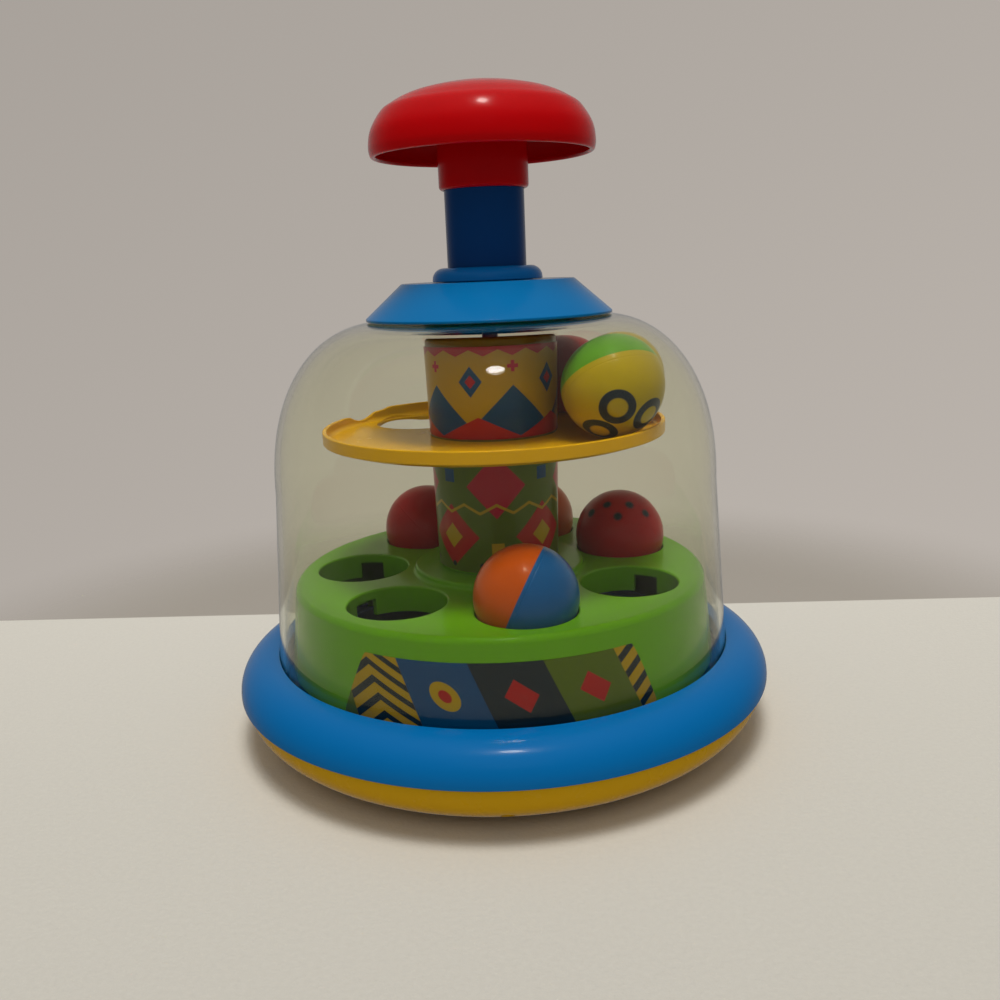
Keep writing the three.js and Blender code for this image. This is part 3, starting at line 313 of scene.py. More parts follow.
def rounded(corners, steps=ARC_STEPS):
    """A profile of straight runs with rounded corners, from rows of radius, height and fillet.

    A fillet's arc touches both runs at fillet / tan(half the corner's angle) from the corner, and its centre
    is fillet / sin(half angle) along the bisector. Its points turn evenly from one run to the other.
    The first and the last corner aren't rounded."""
    corners = np.array(corners, float)
    points = [corners[0, :2]]
    for before, corner, after in zip(corners[:-2], corners[1:-1], corners[2:]):
        here, fillet = corner[:2], corner[2]
        if fillet == 0:
            points.append(here)
            continue
        back = (before[:2] - here) / np.linalg.norm(before[:2] - here)
        ahead = (after[:2] - here) / np.linalg.norm(after[:2] - here)
        half = math.acos(np.clip(back @ ahead, -1, 1)) / 2
        bisector = (back + ahead) / np.linalg.norm(back + ahead)
        centre = here + bisector * fillet / math.sin(half)
        start = here + back * fillet / math.tan(half) - centre
        end = here + ahead * fillet / math.tan(half) - centre
        sweep = math.pi - 2 * half
        share = np.linspace(0, 1, steps + 1)[:, None]
        bow = (np.sin((1 - share) * sweep) * start + np.sin(share * sweep) * end) / math.sin(sweep)
        points.extend(centre + bow)
    points.append(corners[-1, :2])
    return np.array(points)


def arc(centre, radius, start, stop, steps=ARC_STEPS):
    """Points at a radius about a centre, from a start angle to a stop angle in degrees."""
    angle = np.radians(np.linspace(start, stop, steps + 1))
    return np.stack([centre[0] + radius * np.cos(angle), centre[1] + radius * np.sin(angle)], -1)


def smooth_line(knots, steps=8):
    """A curve through knots that ends on the axis.

    From knot a to knot b, with z before and c after, it is
    (2a + (b - z) t + (2z - 5a + 4b - c) t^2 + (3a - z - 3b + c) t^3) / 2 for t from 0 to 1."""
    knots = np.array(knots, float)
    knots = np.vstack([2 * knots[0] - knots[1], knots, knots[-2] * (-1, 1)])
    t = np.linspace(0, 1, steps, endpoint=False)[:, None]
    runs = []
    for z, a, b, c in zip(knots[:-3], knots[1:-2], knots[2:-1], knots[3:]):
        bend, twist = 2 * z - 5 * a + 4 * b - c, 3 * a - z - 3 * b + c
        runs.append((2 * a + (b - z) * t + bend * t**2 + twist * t**3) / 2)
    return np.vstack(runs + [knots[-2:-1]])


def walled(line, wall, lip_steps=5):
    """Both faces of a wall along a line, as one profile that starts and ends at the line's far end.

    Each face is the line moved half the wall along its normal. Over the first half wall of its length the
    thickness grows as a half circle does, sqrt(1 - (1 - s)^2), which rounds the free edge."""
    run = np.concatenate([[0], np.cumsum(np.linalg.norm(np.diff(line, axis=0), axis=1))])
    lip = wall / 2 * (1 - np.cos(np.linspace(0, np.pi / 2, lip_steps)))
    where = np.concatenate([lip, run[run > wall / 2 * 1.2]])
    line = np.stack([np.interp(where, run, line[:, 0]), np.interp(where, run, line[:, 1])], -1)
    slope = np.gradient(line, where, axis=0)
    normal = np.stack([slope[:, 1], -slope[:, 0]], -1) / np.linalg.norm(slope, axis=1)[:, None]
    share = np.sqrt(1 - (1 - np.clip(where / (wall / 2), 0, 1)) ** 2)
    offset = normal * (share * wall / 2)[:, None]
    faces = np.vstack([(line + offset)[::-1], (line - offset)[1:]])
    faces[:, 0] = np.maximum(faces[:, 0], 0)
    faces[[0, -1], 0] = np.where(faces[[0, -1], 0] < wall / 4, 0, faces[[0, -1], 0])
    return faces


def closed(profile):
    """A profile whose last point is its first again."""
    return np.vstack([profile, profile[:1]])


# Surfaces: grids of points, rows by columns


def full_turn(sides=SIDES, start=0.0):
    """Angles of one turn about the axis; the last is the first again."""
    return start + np.linspace(0, 2 * np.pi, sides + 1)


def around(radius, height, angle):
    """Points about the z axis: radius times the cosine and sine of the angle, at the height."""
    radius, height, angle = np.broadcast_arrays(radius, height, angle)
    return np.stack([radius * np.cos(angle), radius * np.sin(angle), height], -1)


def turned(profile, angle=None):
    """A surface of revolution: row i, column j is profile point i turned by angle j."""
    angle = full_turn() if angle is None else angle
    return around(profile[:, :1], profile[:, 1:], angle[None, :])


def moved(grid, centre, angle=0.0):
    """A grid turned about its own z axis and moved to a centre."""
    rotation = np.array([[np.cos(angle), np.sin(angle), 0], [-np.sin(angle), np.cos(angle), 0], [0, 0, 1]])
    return grid @ rotation + np.asarray(centre)


def sector_loop(inner, outer, half, along, across):
    """The edge of a sector of a ring in the plane, counter-clockwise and closed.

    It runs out along the side at -half through the radii in across, round the outer arc in as many equal
    steps as along says, in along the side at +half, and back round the inner arc."""
    arc_angle = np.linspace(-half, half, along + 1)
    ray = np.asarray(across)[:, None]
    side = np.array([[np.cos(half), np.sin(half)]])
    outer_arc = outer * np.stack([np.cos(arc_angle), np.sin(arc_angle)], -1)
    inner_arc = inner * np.stack([np.cos(arc_angle), np.sin(arc_angle)], -1)
    return np.vstack([ray[:-1] * side * (1, -1), outer_arc, ray[::-1][1:-1] * side, inner_arc[::-1]])


def hole_wall(loop, centre, profile):
    """The wall of a round hole: a profile turned about the hole's centre.

    Column j faces point j of the loop: centre + radius * (point - centre) / |point - centre|."""
    out = (loop - centre) / np.linalg.norm(loop - centre, axis=1)[:, None]
    return lifted(centre + profile[:, :1, None] * out, profile[:, 1:])


def apron(rim, loop, rows=7):
    """A flat surface from a hole's rim out to a loop: row k of n lies (k / (n - 1))^1.5 of the way."""
    share = np.linspace(0, 1, rows)[:, None, None] ** 1.5
    return rim + (lifted(loop, rim[:, 2]) - rim) * share


def lifted(flat, height):
    """A flat grid with a height for every point."""
    return np.concatenate([flat, np.broadcast_to(height, flat.shape[:-1])[..., None]], -1)


class Skin:
    """A mesh under construction.

    Every grid of points gives a quad for each cell. Grids that meet edge to edge are welded into one closed
    surface, with its faces turned outwards."""

    def __init__(self):
        self.points, self.quads, self.spread, self.size = [], [], [], 0

    def add(self, grid, spread=None):
        """Adds a grid. The spread is each point's flat place on the piece, in metres, for its print."""
        rows, columns = grid.shape[:2]
        index = np.arange(rows * columns).reshape(rows, columns) + self.size
        quads = np.stack([index[:-1, :-1], index[:-1, 1:], index[1:, 1:], index[1:, :-1]], -1)
        self.quads.append(quads.reshape(-1, 4))
        self.points.append(grid.reshape(-1, 3))
        self.spread.append(np.zeros((rows * columns, 2)) if spread is None else spread.reshape(-1, 2))
        self.size += rows * columns
        return self

    def solid(self, name):
        """An object of the welded grids."""
        points, quads, spread = map(np.concatenate, (self.points, self.quads, self.spread))
        mesh = bpy.data.meshes.new(name)
        mesh.from_pydata(points, [], quads)
        mesh.uv_layers.new(name="spread").data.foreach_set("uv", spread[quads].astype(np.float32).ravel())
        work = bmesh.new()
        work.from_mesh(mesh)
        bmesh.ops.remove_doubles(work, verts=work.verts, dist=WELD)
        bmesh.ops.dissolve_degenerate(work, edges=work.edges, dist=WELD)
        bmesh.ops.recalc_face_normals(work, faces=work.faces)
        work.to_mesh(mesh)
        work.free()
        piece = bpy.data.objects.new(name, mesh)
        bpy.context.scene.collection.objects.link(piece)
        return piece

    def make(self, name, finish, body, slot, *nodes):
        """Seats the welded grids on their CAD body in place of CAD nodes."""
        return seated(self.solid(name), finish, body, slot, *nodes)


def settled(piece, kind, **settings):
    """Runs a modifier on a piece and keeps its result as the piece's mesh."""
    modifier = piece.modifiers.new(kind, kind)
    for name, value in settings.items():
        setattr(modifier, name, value)
    bpy.context.view_layer.update()
    result = bpy.data.meshes.new_from_object(piece.evaluated_get(bpy.context.evaluated_depsgraph_get()))
    piece.modifiers.clear()
    piece.data = result
    return piece


def worked(piece, tool, operation="DIFFERENCE"):
    """Takes a tool's solids out of a piece, or joins them to it, and removes the tool."""
    settled(piece, "BOOLEAN", object=tool, operation=operation, solver="EXACT")
    bpy.data.objects.remove(tool)
    return piece


def seated(piece, finish, body, slot, *nodes):
    """Shades a piece, gives it its finish and lets it ride on a CAD body in place of CAD nodes."""
    piece.data.shade_smooth()
    piece.data.set_sharp_from_angle(angle=CREASE)
    settled(piece, "WEIGHTED_NORMAL", keep_sharp=True)
    piece.data.materials.clear()
    piece.data.materials.append(finish)
    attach(piece, body)
    if nodes:
        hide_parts(*nodes)
    return piece


# Materials


class Wire:
    """A socket's value in a node tree. Each sum on it adds a Math node."""

    def __init__(self, finish, socket):
        self.finish, self.socket = finish, socket

    def math(self, operation, *values):
        """A Math node with this value first."""
        inputs = dict(enumerate((self, *values)))
        return self.finish.node("ShaderNodeMath", {"operation": operation}, inputs)

    def flipped(self, operation, value):
        """A Math node with this value second."""
        return self.finish.node("ShaderNodeMath", {"operation": operation}, {0: value, 1: self})

    def __add__(self, other):
        return self.math("ADD", other)

    def __sub__(self, other):
        return self.math("SUBTRACT", other)

    def __mul__(self, other):
        return self.math("MULTIPLY", other)

    def __truediv__(self, other):
        return self.math("DIVIDE", other)

    def __pow__(self, other):
        return self.math("POWER", other)

    def __mod__(self, other):
        return self.math("FLOORED_MODULO", other)

    def __radd__(self, other):
        return self.flipped("ADD", other)

    def __rsub__(self, other):
        return self.flipped("SUBTRACT", other)

    def __rmul__(self, other):
        return self.flipped("MULTIPLY", other)

    def __abs__(self):
        return self.math("ABSOLUTE")

    def least(self, other):
        return self.math("MINIMUM", other)

    def most(self, other):
        return self.math("MAXIMUM", other)

    def below(self, edge, soft):
        """1 where the value is under the edge and 0 over it, changing smoothly over twice the softness."""
        inputs = {"Value": self - edge, "From Min": -soft, "From Max": soft, "To Min": 1, "To Max": 0}
        return self.finish.node("ShaderNodeMapRange", {"interpolation_type": "SMOOTHSTEP"}, inputs, "Result")

    def above(self, edge, soft):
        """1 where the value is over the edge and 0 under it."""
        return 1 - self.below(edge, soft)


class Finish:
    """A material or a world under construction."""

    def __init__(self, name, home=None):
        self.home = (bpy.data.materials if home is None else home).new(name)
        self.home.use_nodes = True
        self.tree = self.home.node_tree
        self.tree.nodes.clear()

    def node(self, kind, settings=None, inputs=None, output=0):
        """Adds a node of a type, applies its settings, fills or links its sockets and gives one output."""
        made = self.tree.nodes.new(kind)
        for name, value in (settings or {}).items():
            setattr(made, name, value)
        for key, value in (inputs or {}).items():
            socket = made.inputs[key]
            if isinstance(value, Wire):
                self.tree.links.new(value.socket, socket)
            else:
                socket.default_value = value
        return Wire(self, made.outputs[output])

    def place(self):
        """Object coordinates, in metres."""
        return self.node("ShaderNodeTexCoord", output="Object")

    def spread(self):
        """The piece's own flat coordinates in metres: round it, and up it."""
        flat = self.node("ShaderNodeUVMap", {"uv_map": "spread"})
        return self.parts(flat)[:2]

    def parts(self, vector):
        """The three numbers of a vector."""
        node = self.node("ShaderNodeSeparateXYZ", inputs={0: vector}).socket.node
        return [Wire(self, output) for output in node.outputs]

    def vector(self, operation, first, second=(0, 0, 0), output=0):
        """A sum on vectors."""
        return self.node("ShaderNodeVectorMath", {"operation": operation}, {0: first, 1: second}, output)

    def noise(self, size, detail, roughness=0.5):
        """A cloud from 0 to 1 whose patches are about a size in metres."""
        inputs = {"Vector": self.place(), "Scale": 1 / size, "Detail": detail, "Roughness": roughness}
        return self.node("ShaderNodeTexNoise", inputs=inputs)

    def mix(self, factor, first, second):
        """A colour between two colours."""
        settings = {"data_type": "RGBA", "clamp_factor": True}
        inputs = {0: factor, 6: solid(first), 7: solid(second)}
        return self.node("ShaderNodeMix", settings, inputs, 2)

    def shaded(self, base, amount):
        """A colour made lighter or darker by an amount that varies about 0."""
        settings = {"data_type": "RGBA", "blend_type": "MULTIPLY"}
        return self.node("ShaderNodeMix", settings, {0: 1.0, 6: solid(base), 7: self.grey(1 + amount)}, 2)

    def grey(self, value):
        """A number as a grey colour."""
        return self.node("ShaderNodeCombineColor", inputs={0: value, 1: value, 2: value})

    def bump(self, height, depth, strength, under=None):
        """A normal bent by a height of 0 to 1 that stands for a depth in metres, over the bump under it."""
        inputs = {"Height": height, "Distance": depth, "Strength": strength}
        if under is not None:
            inputs["Normal"] = under
        return self.node("ShaderNodeBump", inputs=inputs)

    def plastic(self, base, roughness, normal, **constants):
        """A plastic surface under a thin coat of gloss; the constants are for sockets that don't vary."""
        inputs = {
            "Base Color": solid(base), "Roughness": roughness, "Normal": normal, "IOR": 1.49,
            "Specular IOR Level": 0.17, "Coat Weight": 0.2, "Coat Roughness": 0.08, **constants,
        }
        return self.done(self.node("ShaderNodeBsdfPrincipled", inputs=inputs))

    def done(self, shader, output="ShaderNodeOutputMaterial"):
        """Links a shader to the output."""
        self.tree.links.new(shader.socket, self.tree.nodes.new(output).inputs["Surface"])
        return self.home


def solid(value):
    """A colour with its alpha, or a linked colour as it is."""
    return value if isinstance(value, Wire) or len(value) == 4 else (*value, 1.0)


def moulded(name, base, roughness, **constants):
    """Injection-moulded gloss plastic: faint clouds where it flowed, uneven gloss and a very fine grain."""
    finish = Finish(name)
    cloud = finish.noise(45 * MM, detail=2)
    smudge = finish.noise(14 * MM, detail=3, roughness=0.6)
    grain = finish.noise(0.7 * MM, detail=1)
    base = finish.shaded(base, (cloud - 0.5) * 0.04)
    waves = finish.bump(cloud, depth=0.12 * MM, strength=0.2)
    normal = finish.bump(grain, depth=0.004 * MM, strength=0.15, under=waves)
    return finish.plastic(base, roughness + (smudge - 0.5) * 0.07, normal, **constants)


def plated(name, base):
    """Zinc-plated steel with fine grain and dull patches."""
    finish = Finish(name)
    grain = finish.noise(0.5 * MM, detail=3, roughness=0.6)
    dull = finish.noise(6 * MM, detail=2)
    base = finish.shaded(base, (dull - 0.5) * 0.3)
    normal = finish.bump(grain, depth=0.01 * MM, strength=0.5)
    return finish.plastic(base, 0.24 + grain * 0.18, normal, Metallic=1.0)


def clear(name, tint):
    """Clear plastic, a little uneven, that bends and tints light.

    It lets the lamps' light through, but for (1 - cosine of the angle to its normal)^5 at each face."""
    finish = Finish(name)
    smudge = finish.noise(20 * MM, detail=4, roughness=0.6).above(0.6, 0.14)
    waves = finish.bump(finish.noise(34 * MM, detail=1), depth=0.15 * MM, strength=0.2)
    inputs = {
        "Base Color": solid(tint), "Roughness": 0.012 + smudge * 0.012, "IOR": 1.34, "Normal": waves,
        "Transmission Weight": 1.0,
    }
    glass = finish.node("ShaderNodeBsdfPrincipled", inputs=inputs)
    open_way = finish.node("ShaderNodeBsdfTransparent", inputs={"Color": solid(tuple(np.sqrt(tint)))})
    lamp_ray = finish.node("ShaderNodeLightPath", output="Is Shadow Ray")
    facing = finish.node("ShaderNodeLayerWeight", inputs={"Blend": 0.5}, output="Facing")
    passed = lamp_ray * (1 - facing**5)
    return finish.done(finish.node("ShaderNodeMixShader", inputs={0: passed, 1: glass, 2: open_way}))


# Printed patterns, drawn on a label's own flat coordinates: u round it and v up it

# How softly ink ends: a length on a film, a share of a row of panels, a cosine on a ball
INK_EDGE = 0.12 * MM
PANEL_EDGE = 0.002
BALL_EDGE = 0.004


def zigzag(along, period):
    """A line that rises from 0 to 1 and falls back in each period."""
    return abs((along / period) % 1 - 0.5) * 2


def cell(along, period, shift=0.0):
    """The distance from the middle of the period that a point is in."""
    return abs(((along + shift) / period) % 1 - 0.5) * period


def dot(u, v, radius):
    """1 where u^2 + v^2 is under radius^2."""
    return (u**2 + v**2).below(radius**2, radius * 2 * INK_EDGE)


def diamond(u, v, width, height):
    """1 where u / width + v / height is under 1; width and height are halves."""
    return (u / width + v / height).below(1, INK_EDGE / width)


def square(u, v, half):
    """1 where the greater of u and v is under half the side."""
    return u.most(v).below(half, INK_EDGE)


def cross(u, v, arm, half_width):
    """1 where the greater of u and v is under the arm's length and the lesser under half its width."""
    return u.most(v).below(arm, INK_EDGE) * u.least(v).below(half_width, INK_EDGE)


def printed(name, ground, layers_of):
    """A glossy printed film: inks laid over a ground one after another, faintly uneven."""
    finish = Finish(name)
    u, v = finish.spread()
    art = solid(ground)
    for shape, ink in layers_of(u, v):
        art = finish.mix(shape, art, ink)
    mottle = finish.noise(3 * MM, detail=2)
    art = finish.shaded(art, (mottle - 0.5) * 0.06)
    normal = finish.bump(finish.noise(12 * MM, detail=1), depth=0.06 * MM, strength=0.25)
    return finish.plastic(art, 0.26 + mottle * 0.06, normal)


def upper_print(inks, round_way, height):
    """Yellow sleeve over the tray: two rows of hills, diamonds, crosses and a notched red edge."""
    hill, notch = round_way / 5, round_way / 15
    far_foot, far_rise, near_foot, near_rise, near_shift = 5 * MM, 19 * MM, 1 * MM, 9 * MM, hill * 0.42
    edge_depth, notch_depth = 1.5 * MM, 3 * MM
    diamond_row, cross_row = height * 0.62, height * 0.78

    def layers(u, v):
        yield v.below(far_foot + zigzag(u, hill) * far_rise, INK_EDGE), inks.blue
        yield v.below(near_foot + zigzag(u + near_shift, hill) * near_rise, INK_EDGE), inks.red
        yield v.above(height - edge_depth - zigzag(u, notch) * notch_depth, INK_EDGE), inks.red
        across, across_tips = cell(u, hill), cell(u, hill, hill / 2)
        yield diamond(across, abs(v - diamond_row), width=5.5 * MM, height=7 * MM), inks.blue
        yield diamond(across, abs(v - diamond_row), width=2.6 * MM, height=3 * MM), inks.red
        yield cross(across_tips, abs(v - cross_row), arm=2.6 * MM, half_width=0.9 * MM), inks.magenta

    return printed("printed_upper_sleeve", inks.yellow, layers)


def lower_print(inks, round_way, height):
    """Green sleeve under the tray: diamonds, squares, dots and a zigzag line."""
    wide, step = round_way / 4, round_way / 12
    low_row, high_row, low_squares, high_squares = height * 0.3, height * 0.72, height * 0.2, height * 0.8
    line_row, line_rise, line_half, dot_row = height * 0.5, 4 * MM, 0.7 * MM, 3.5 * MM

    def layers(u, v):
        across, across_next = cell(u, wide), cell(u, wide, wide / 2)
        yield diamond(across, abs(v - low_row), width=15 * MM, height=15 * MM), inks.red
        yield diamond(across, abs(v - low_row), width=6 * MM, height=6 * MM), inks.yellow
        yield diamond(across_next, abs(v - high_row), width=14 * MM, height=15 * MM), inks.magenta
        yield square(across_next, abs(v - low_squares), half=3 * MM), inks.yellow
        yield square(across, abs(v - high_squares), half=3 * MM), inks.blue
        line = abs(v - line_row - zigzag(u, step) * line_rise)
        yield line.below(line_half, INK_EDGE), inks.yellow
        yield dot(cell(u, step), abs(v - dot_row), radius=1.3 * MM), inks.dark

    return printed("printed_lower_sleeve", inks.green, layers)


def skirt_print(inks, height):
    """Skirt patch: slanting panels in dark, green, yellow and blue, with diamonds, chevrons and rings."""
    panel, lean = 31 * MM, 0.45
    stripe_period, stripe_half, stripe_slope = 7 * MM, 1.5 * MM, 0.6

    def layers(u, v):
        slant = u + v * lean
        place = (slant / (panel * 4)) % 1
        past_dark, past_green, past_yellow = (place.above(share, PANEL_EDGE) for share in (0.25, 0.5, 0.75))
        before_yellow, before_blue = (place.below(share, PANEL_EDGE) for share in (0.5, 0.75))
        yield past_dark * before_yellow, inks.green
        yield past_green * before_blue, inks.yellow
        yield past_yellow, inks.blue
        across, level = cell(slant, panel), abs(v - height * 0.5)
        yield diamond(across, level, width=7 * MM, height=7 * MM) * before_yellow, inks.red
        stripe = cell(v + across * stripe_slope, stripe_period).below(stripe_half, INK_EDGE)
        yield stripe * past_green * before_blue, inks.dark
        yield dot(across, level, radius=6 * MM) * past_yellow, inks.yellow
        yield dot(across, level, radius=2.6 * MM) * past_yellow, inks.red

    return printed("printed_skirt_patch", inks.dark, layers)


def ball_print(name, centre, radius, low, high, axis, level, marks, ink):
    """A ball in two colours that meet where the direction from its centre runs past a level along an axis.

    Each mark is a printed ring: a direction, and an outer and an inner radius on the ball's surface."""
    finish = Finish(name)
    out = finish.vector("NORMALIZE", finish.vector("SUBTRACT", finish.place(), tuple(centre)))
    side = finish.vector("DOT_PRODUCT", out, axis, "Value").above(level, 1.5 * BALL_EDGE)
    base = finish.mix(side, low, high)
    for direction, outer, inner in marks:
        near = finish.vector("DOT_PRODUCT", out, direction, "Value")
        ring = near.above(math.cos(outer / radius), BALL_EDGE)
        if inner > 0:
            ring = ring * near.below(math.cos(inner / radius), BALL_EDGE)
        base = finish.mix(ring, base, ink)
    cloud = finish.noise(14 * MM, detail=3)
    smudge = finish.noise(6 * MM, detail=3, roughness=0.6)
    base = finish.shaded(base, (cloud - 0.5) * 0.06)
    normal = finish.bump(finish.noise(10 * MM, detail=1), depth=0.08 * MM, strength=0.3)
    return finish.plastic(base, 0.3 + (smudge - 0.5) * 0.1, normal)


# Pieces


def dress(finish, *nodes):
    """Gives CAD nodes that stay as they are a finish."""
    for node in nodes:
        for slot in frame["nodes"][node].material_slots:
            slot.material = finish


def prism(loop, low, high):
    """A closed solid over a loop, from a low to a high height, which may change from point to point."""
    centre = np.broadcast_to(loop[:-1].mean(0), loop.shape)
    rows = np.stack([centre, loop, loop, centre])
    low, high = (np.broadcast_to(height, len(loop)) for height in (low, high))
    low_middle, high_middle = (np.full(len(loop), height[:-1].mean()) for height in (low, high))
    heights = np.stack([low_middle, low, high, high_middle])
    return np.concatenate([rows, heights[..., None]], -1)


def ring_of(grid, count, pitch, phase=0.0):
    """Copies of a grid moved out along x and set evenly about the axis."""
    angles = phase + np.arange(count) * 2 * np.pi / count
    return [moved(grid + (pitch, 0, 0), (0, 0, 0), angle) for angle in angles]


def many(grids):
    """A mesh under construction that starts with several grids."""
    skin = Skin()
    for grid in grids:
        skin.add(grid)
    return skin


def lathed(profile, name, finish, body, slot, node):
    """A piece turned from a profile, which is closed first, in place of a CAD node."""
    return Skin().add(turned(closed(profile))).make(name, finish, body, slot, node)


class BALLTOWER_OT_base(Operator):
    """Adds the yellow bowl, the blue ring round its rim and the deck, whose navy is painted shade from under
    the disc
    """

    bl_idname = "ball_tower.base"
    bl_label = "Base"

    def execute(self, context):
        settings = context.scene.ball_tower.base
        self.bowl(settings)
        self.ring(settings)
        self.deck(settings)
        return {"FINISHED"}

    def bowl(self, settings):
        """An elliptical shell with a hollow pillar for each ring screw.

        At t the shell is at r = foot + across sin t, and at z = rim (1 - cos t) outside and
        rim - (rim - wall) cos t inside. A pillar's foot follows it: z = post_foot + slope x."""
        radius, wall = reach("base_bowl")[0], settings.wall
        rim = reach("clamp_ring")[1] + settings.spigot
        swing = np.radians(np.linspace(0, 90, 33))
        foot = settings.foot
        across, inner_across = radius - foot, radius - wall - foot
        outside = np.stack([foot + across * np.sin(swing), rim * (1 - np.cos(swing))], -1)
        inside = np.stack([foot + inner_across * np.sin(swing), rim - (rim - wall) * np.cos(swing)], -1)
        bowl = Skin().add(turned(np.vstack([[[0, 0]], outside, inside[::-1], [[0, wall]]]))).solid("bowl")
        angle = full_turn(sides=24)
        post = np.stack([np.cos(angle), np.sin(angle)], -1)
        post_share, post_foot, slope = 1.5, 10.4 * MM, 0.78
        pillar_foot = post_foot + slope * post_share * settings.screw_recess * post[:, 0]
        pillar = prism(post * settings.screw_recess * post_share, pillar_foot, rim)
        recess = prism(post * settings.screw_recess, -OVERRUN, rim - settings.screw_floor)
        places = settings.screw_count, settings.screw_pitch, math.pi / settings.screw_count
        worked(bowl, many(ring_of(pillar, *places)).solid("pillars"), "UNION")
        worked(bowl, many(ring_of(recess, *places)).solid("recesses"))
        finish = moulded("bowl_yellow", settings.bowl_colour, roughness=0.27)
        seated(bowl, finish, "stand", "yellow", "base_bowl")

    def ring(self, settings):
        """A fat band beside the dome, of oval section: r = crest + bulge cos t, z = middle + rise sin t."""
        radius, low, top = reach("clamp_ring")
        flange, foot, _ = reach("clear_dome")
        bottom = low + settings.spigot + SEAT
        middle_height = bottom + settings.hem
        crest, rise = radius - settings.bulge, top - middle_height
        band = arc((0, 0), 1, 0, 90, 40) * (settings.bulge, rise) + (crest, middle_height)
        shelf, under = foot + settings.shelf, radius - settings.overhang
        seat, web_top = flange + SEAT, bottom + settings.web
        profile = rounded([
            [under, bottom, 0], [radius, bottom, EASED], *np.column_stack([band, np.zeros(len(band))]),
            [beside_dome(top), top, settings.lip], [beside_dome(shelf), shelf, 0], [seat, shelf, 0],
            [seat, web_top, 0], [under, web_top, 0],
        ])
        finish = moulded("ring_blue", settings.ring_colour, roughness=0.23)
        lathed(profile, "ring", finish, "stand", "blue", "clamp_ring")

    def deck(self, settings):
        """A flat floor with a kerb at its edge."""
        radius, low, kerb_top = reach("deck")
        floor, kerb = kerb_top - settings.kerb_height, radius - settings.kerb_width
        bore = settings.deck_bore
        profile = rounded([
            [bore, low, 0], [radius, low, CRISP], [radius, kerb_top, EASED], [kerb, kerb_top, EASED],
            [kerb, floor, FULL], [bore, floor, 0],
        ])
        # The deck's navy is painted shade from under the disc
        finish = moulded("deck_navy_painted_shade", settings.deck_colour_painted_shade, roughness=0.36)
        lathed(profile, "deck_floor", finish, "stand", "navy", "deck")


def dome_line(settings, inset=0.0, steps=40):
    """One face of the dome's wall from its foot to its crown, an inset inside its outer face.

    The wall leans in by the taper up to the shoulder. Above it the section is part of a superellipse:
    r = crown + across cos(t)^(2/n), z = shoulder + up sin(t)^(2/n)."""
    flange, foot, top = reach("clear_dome")
    foot_radius = flange - settings.flange
    shoulder_radius, shoulder = foot_radius - settings.taper, top - settings.rise
    height = np.linspace(foot, shoulder, 14)[:-1]
    wall = np.stack([np.interp(height, [foot, shoulder], [foot_radius, shoulder_radius]) - inset, height], -1)
    swing = np.radians(np.linspace(0, 90, steps))
    power = 2 / settings.roundness
    across, up = shoulder_radius - settings.crown - inset, settings.rise - inset
    radius = settings.crown + across * np.clip(np.cos(swing), 0, 1) ** power
    over = np.stack([radius, shoulder + up * np.sin(swing) ** power], -1)
    return np.vstack([wall, over])


def beside_dome(height):
    """The radius just outside the dome's wall at a height under its shoulder."""
    settings = bpy.context.scene.ball_tower.dome
    flange, foot, top = reach("clear_dome")
    share = (height - foot) / (top - settings.rise - foot)
    return flange - settings.flange - settings.taper * share + settings.ring_gap


class BALLTOWER_OT_dome(Operator):
    """Adds the clear dome"""

    bl_idname = "ball_tower.dome"
    bl_label = "Dome"

    def execute(self, context):
        settings = context.scene.ball_tower.dome
        flange, foot, top = reach("clear_dome")
        outside = dome_line(settings)
        inside = dome_line(settings, settings.wall)
        ledge = foot + settings.flange_height
        wall = np.interp(ledge, *outside.T[::-1])
        step = [[inside[0, 0], foot], [flange, foot], [flange, ledge], [wall, ledge]]
        bore = [[settings.bore, top], [settings.bore, top - settings.wall]]
        profile = np.vstack([step, outside[outside[:, 1] > ledge], bore, inside[::-1]])
        skin = Skin().add(turned(closed(profile), full_turn(sides=192)))
        skin.make("dome", clear("clear_plastic", settings.tint), "stand", "clear", "clear_dome")
        return {"FINISHED"}


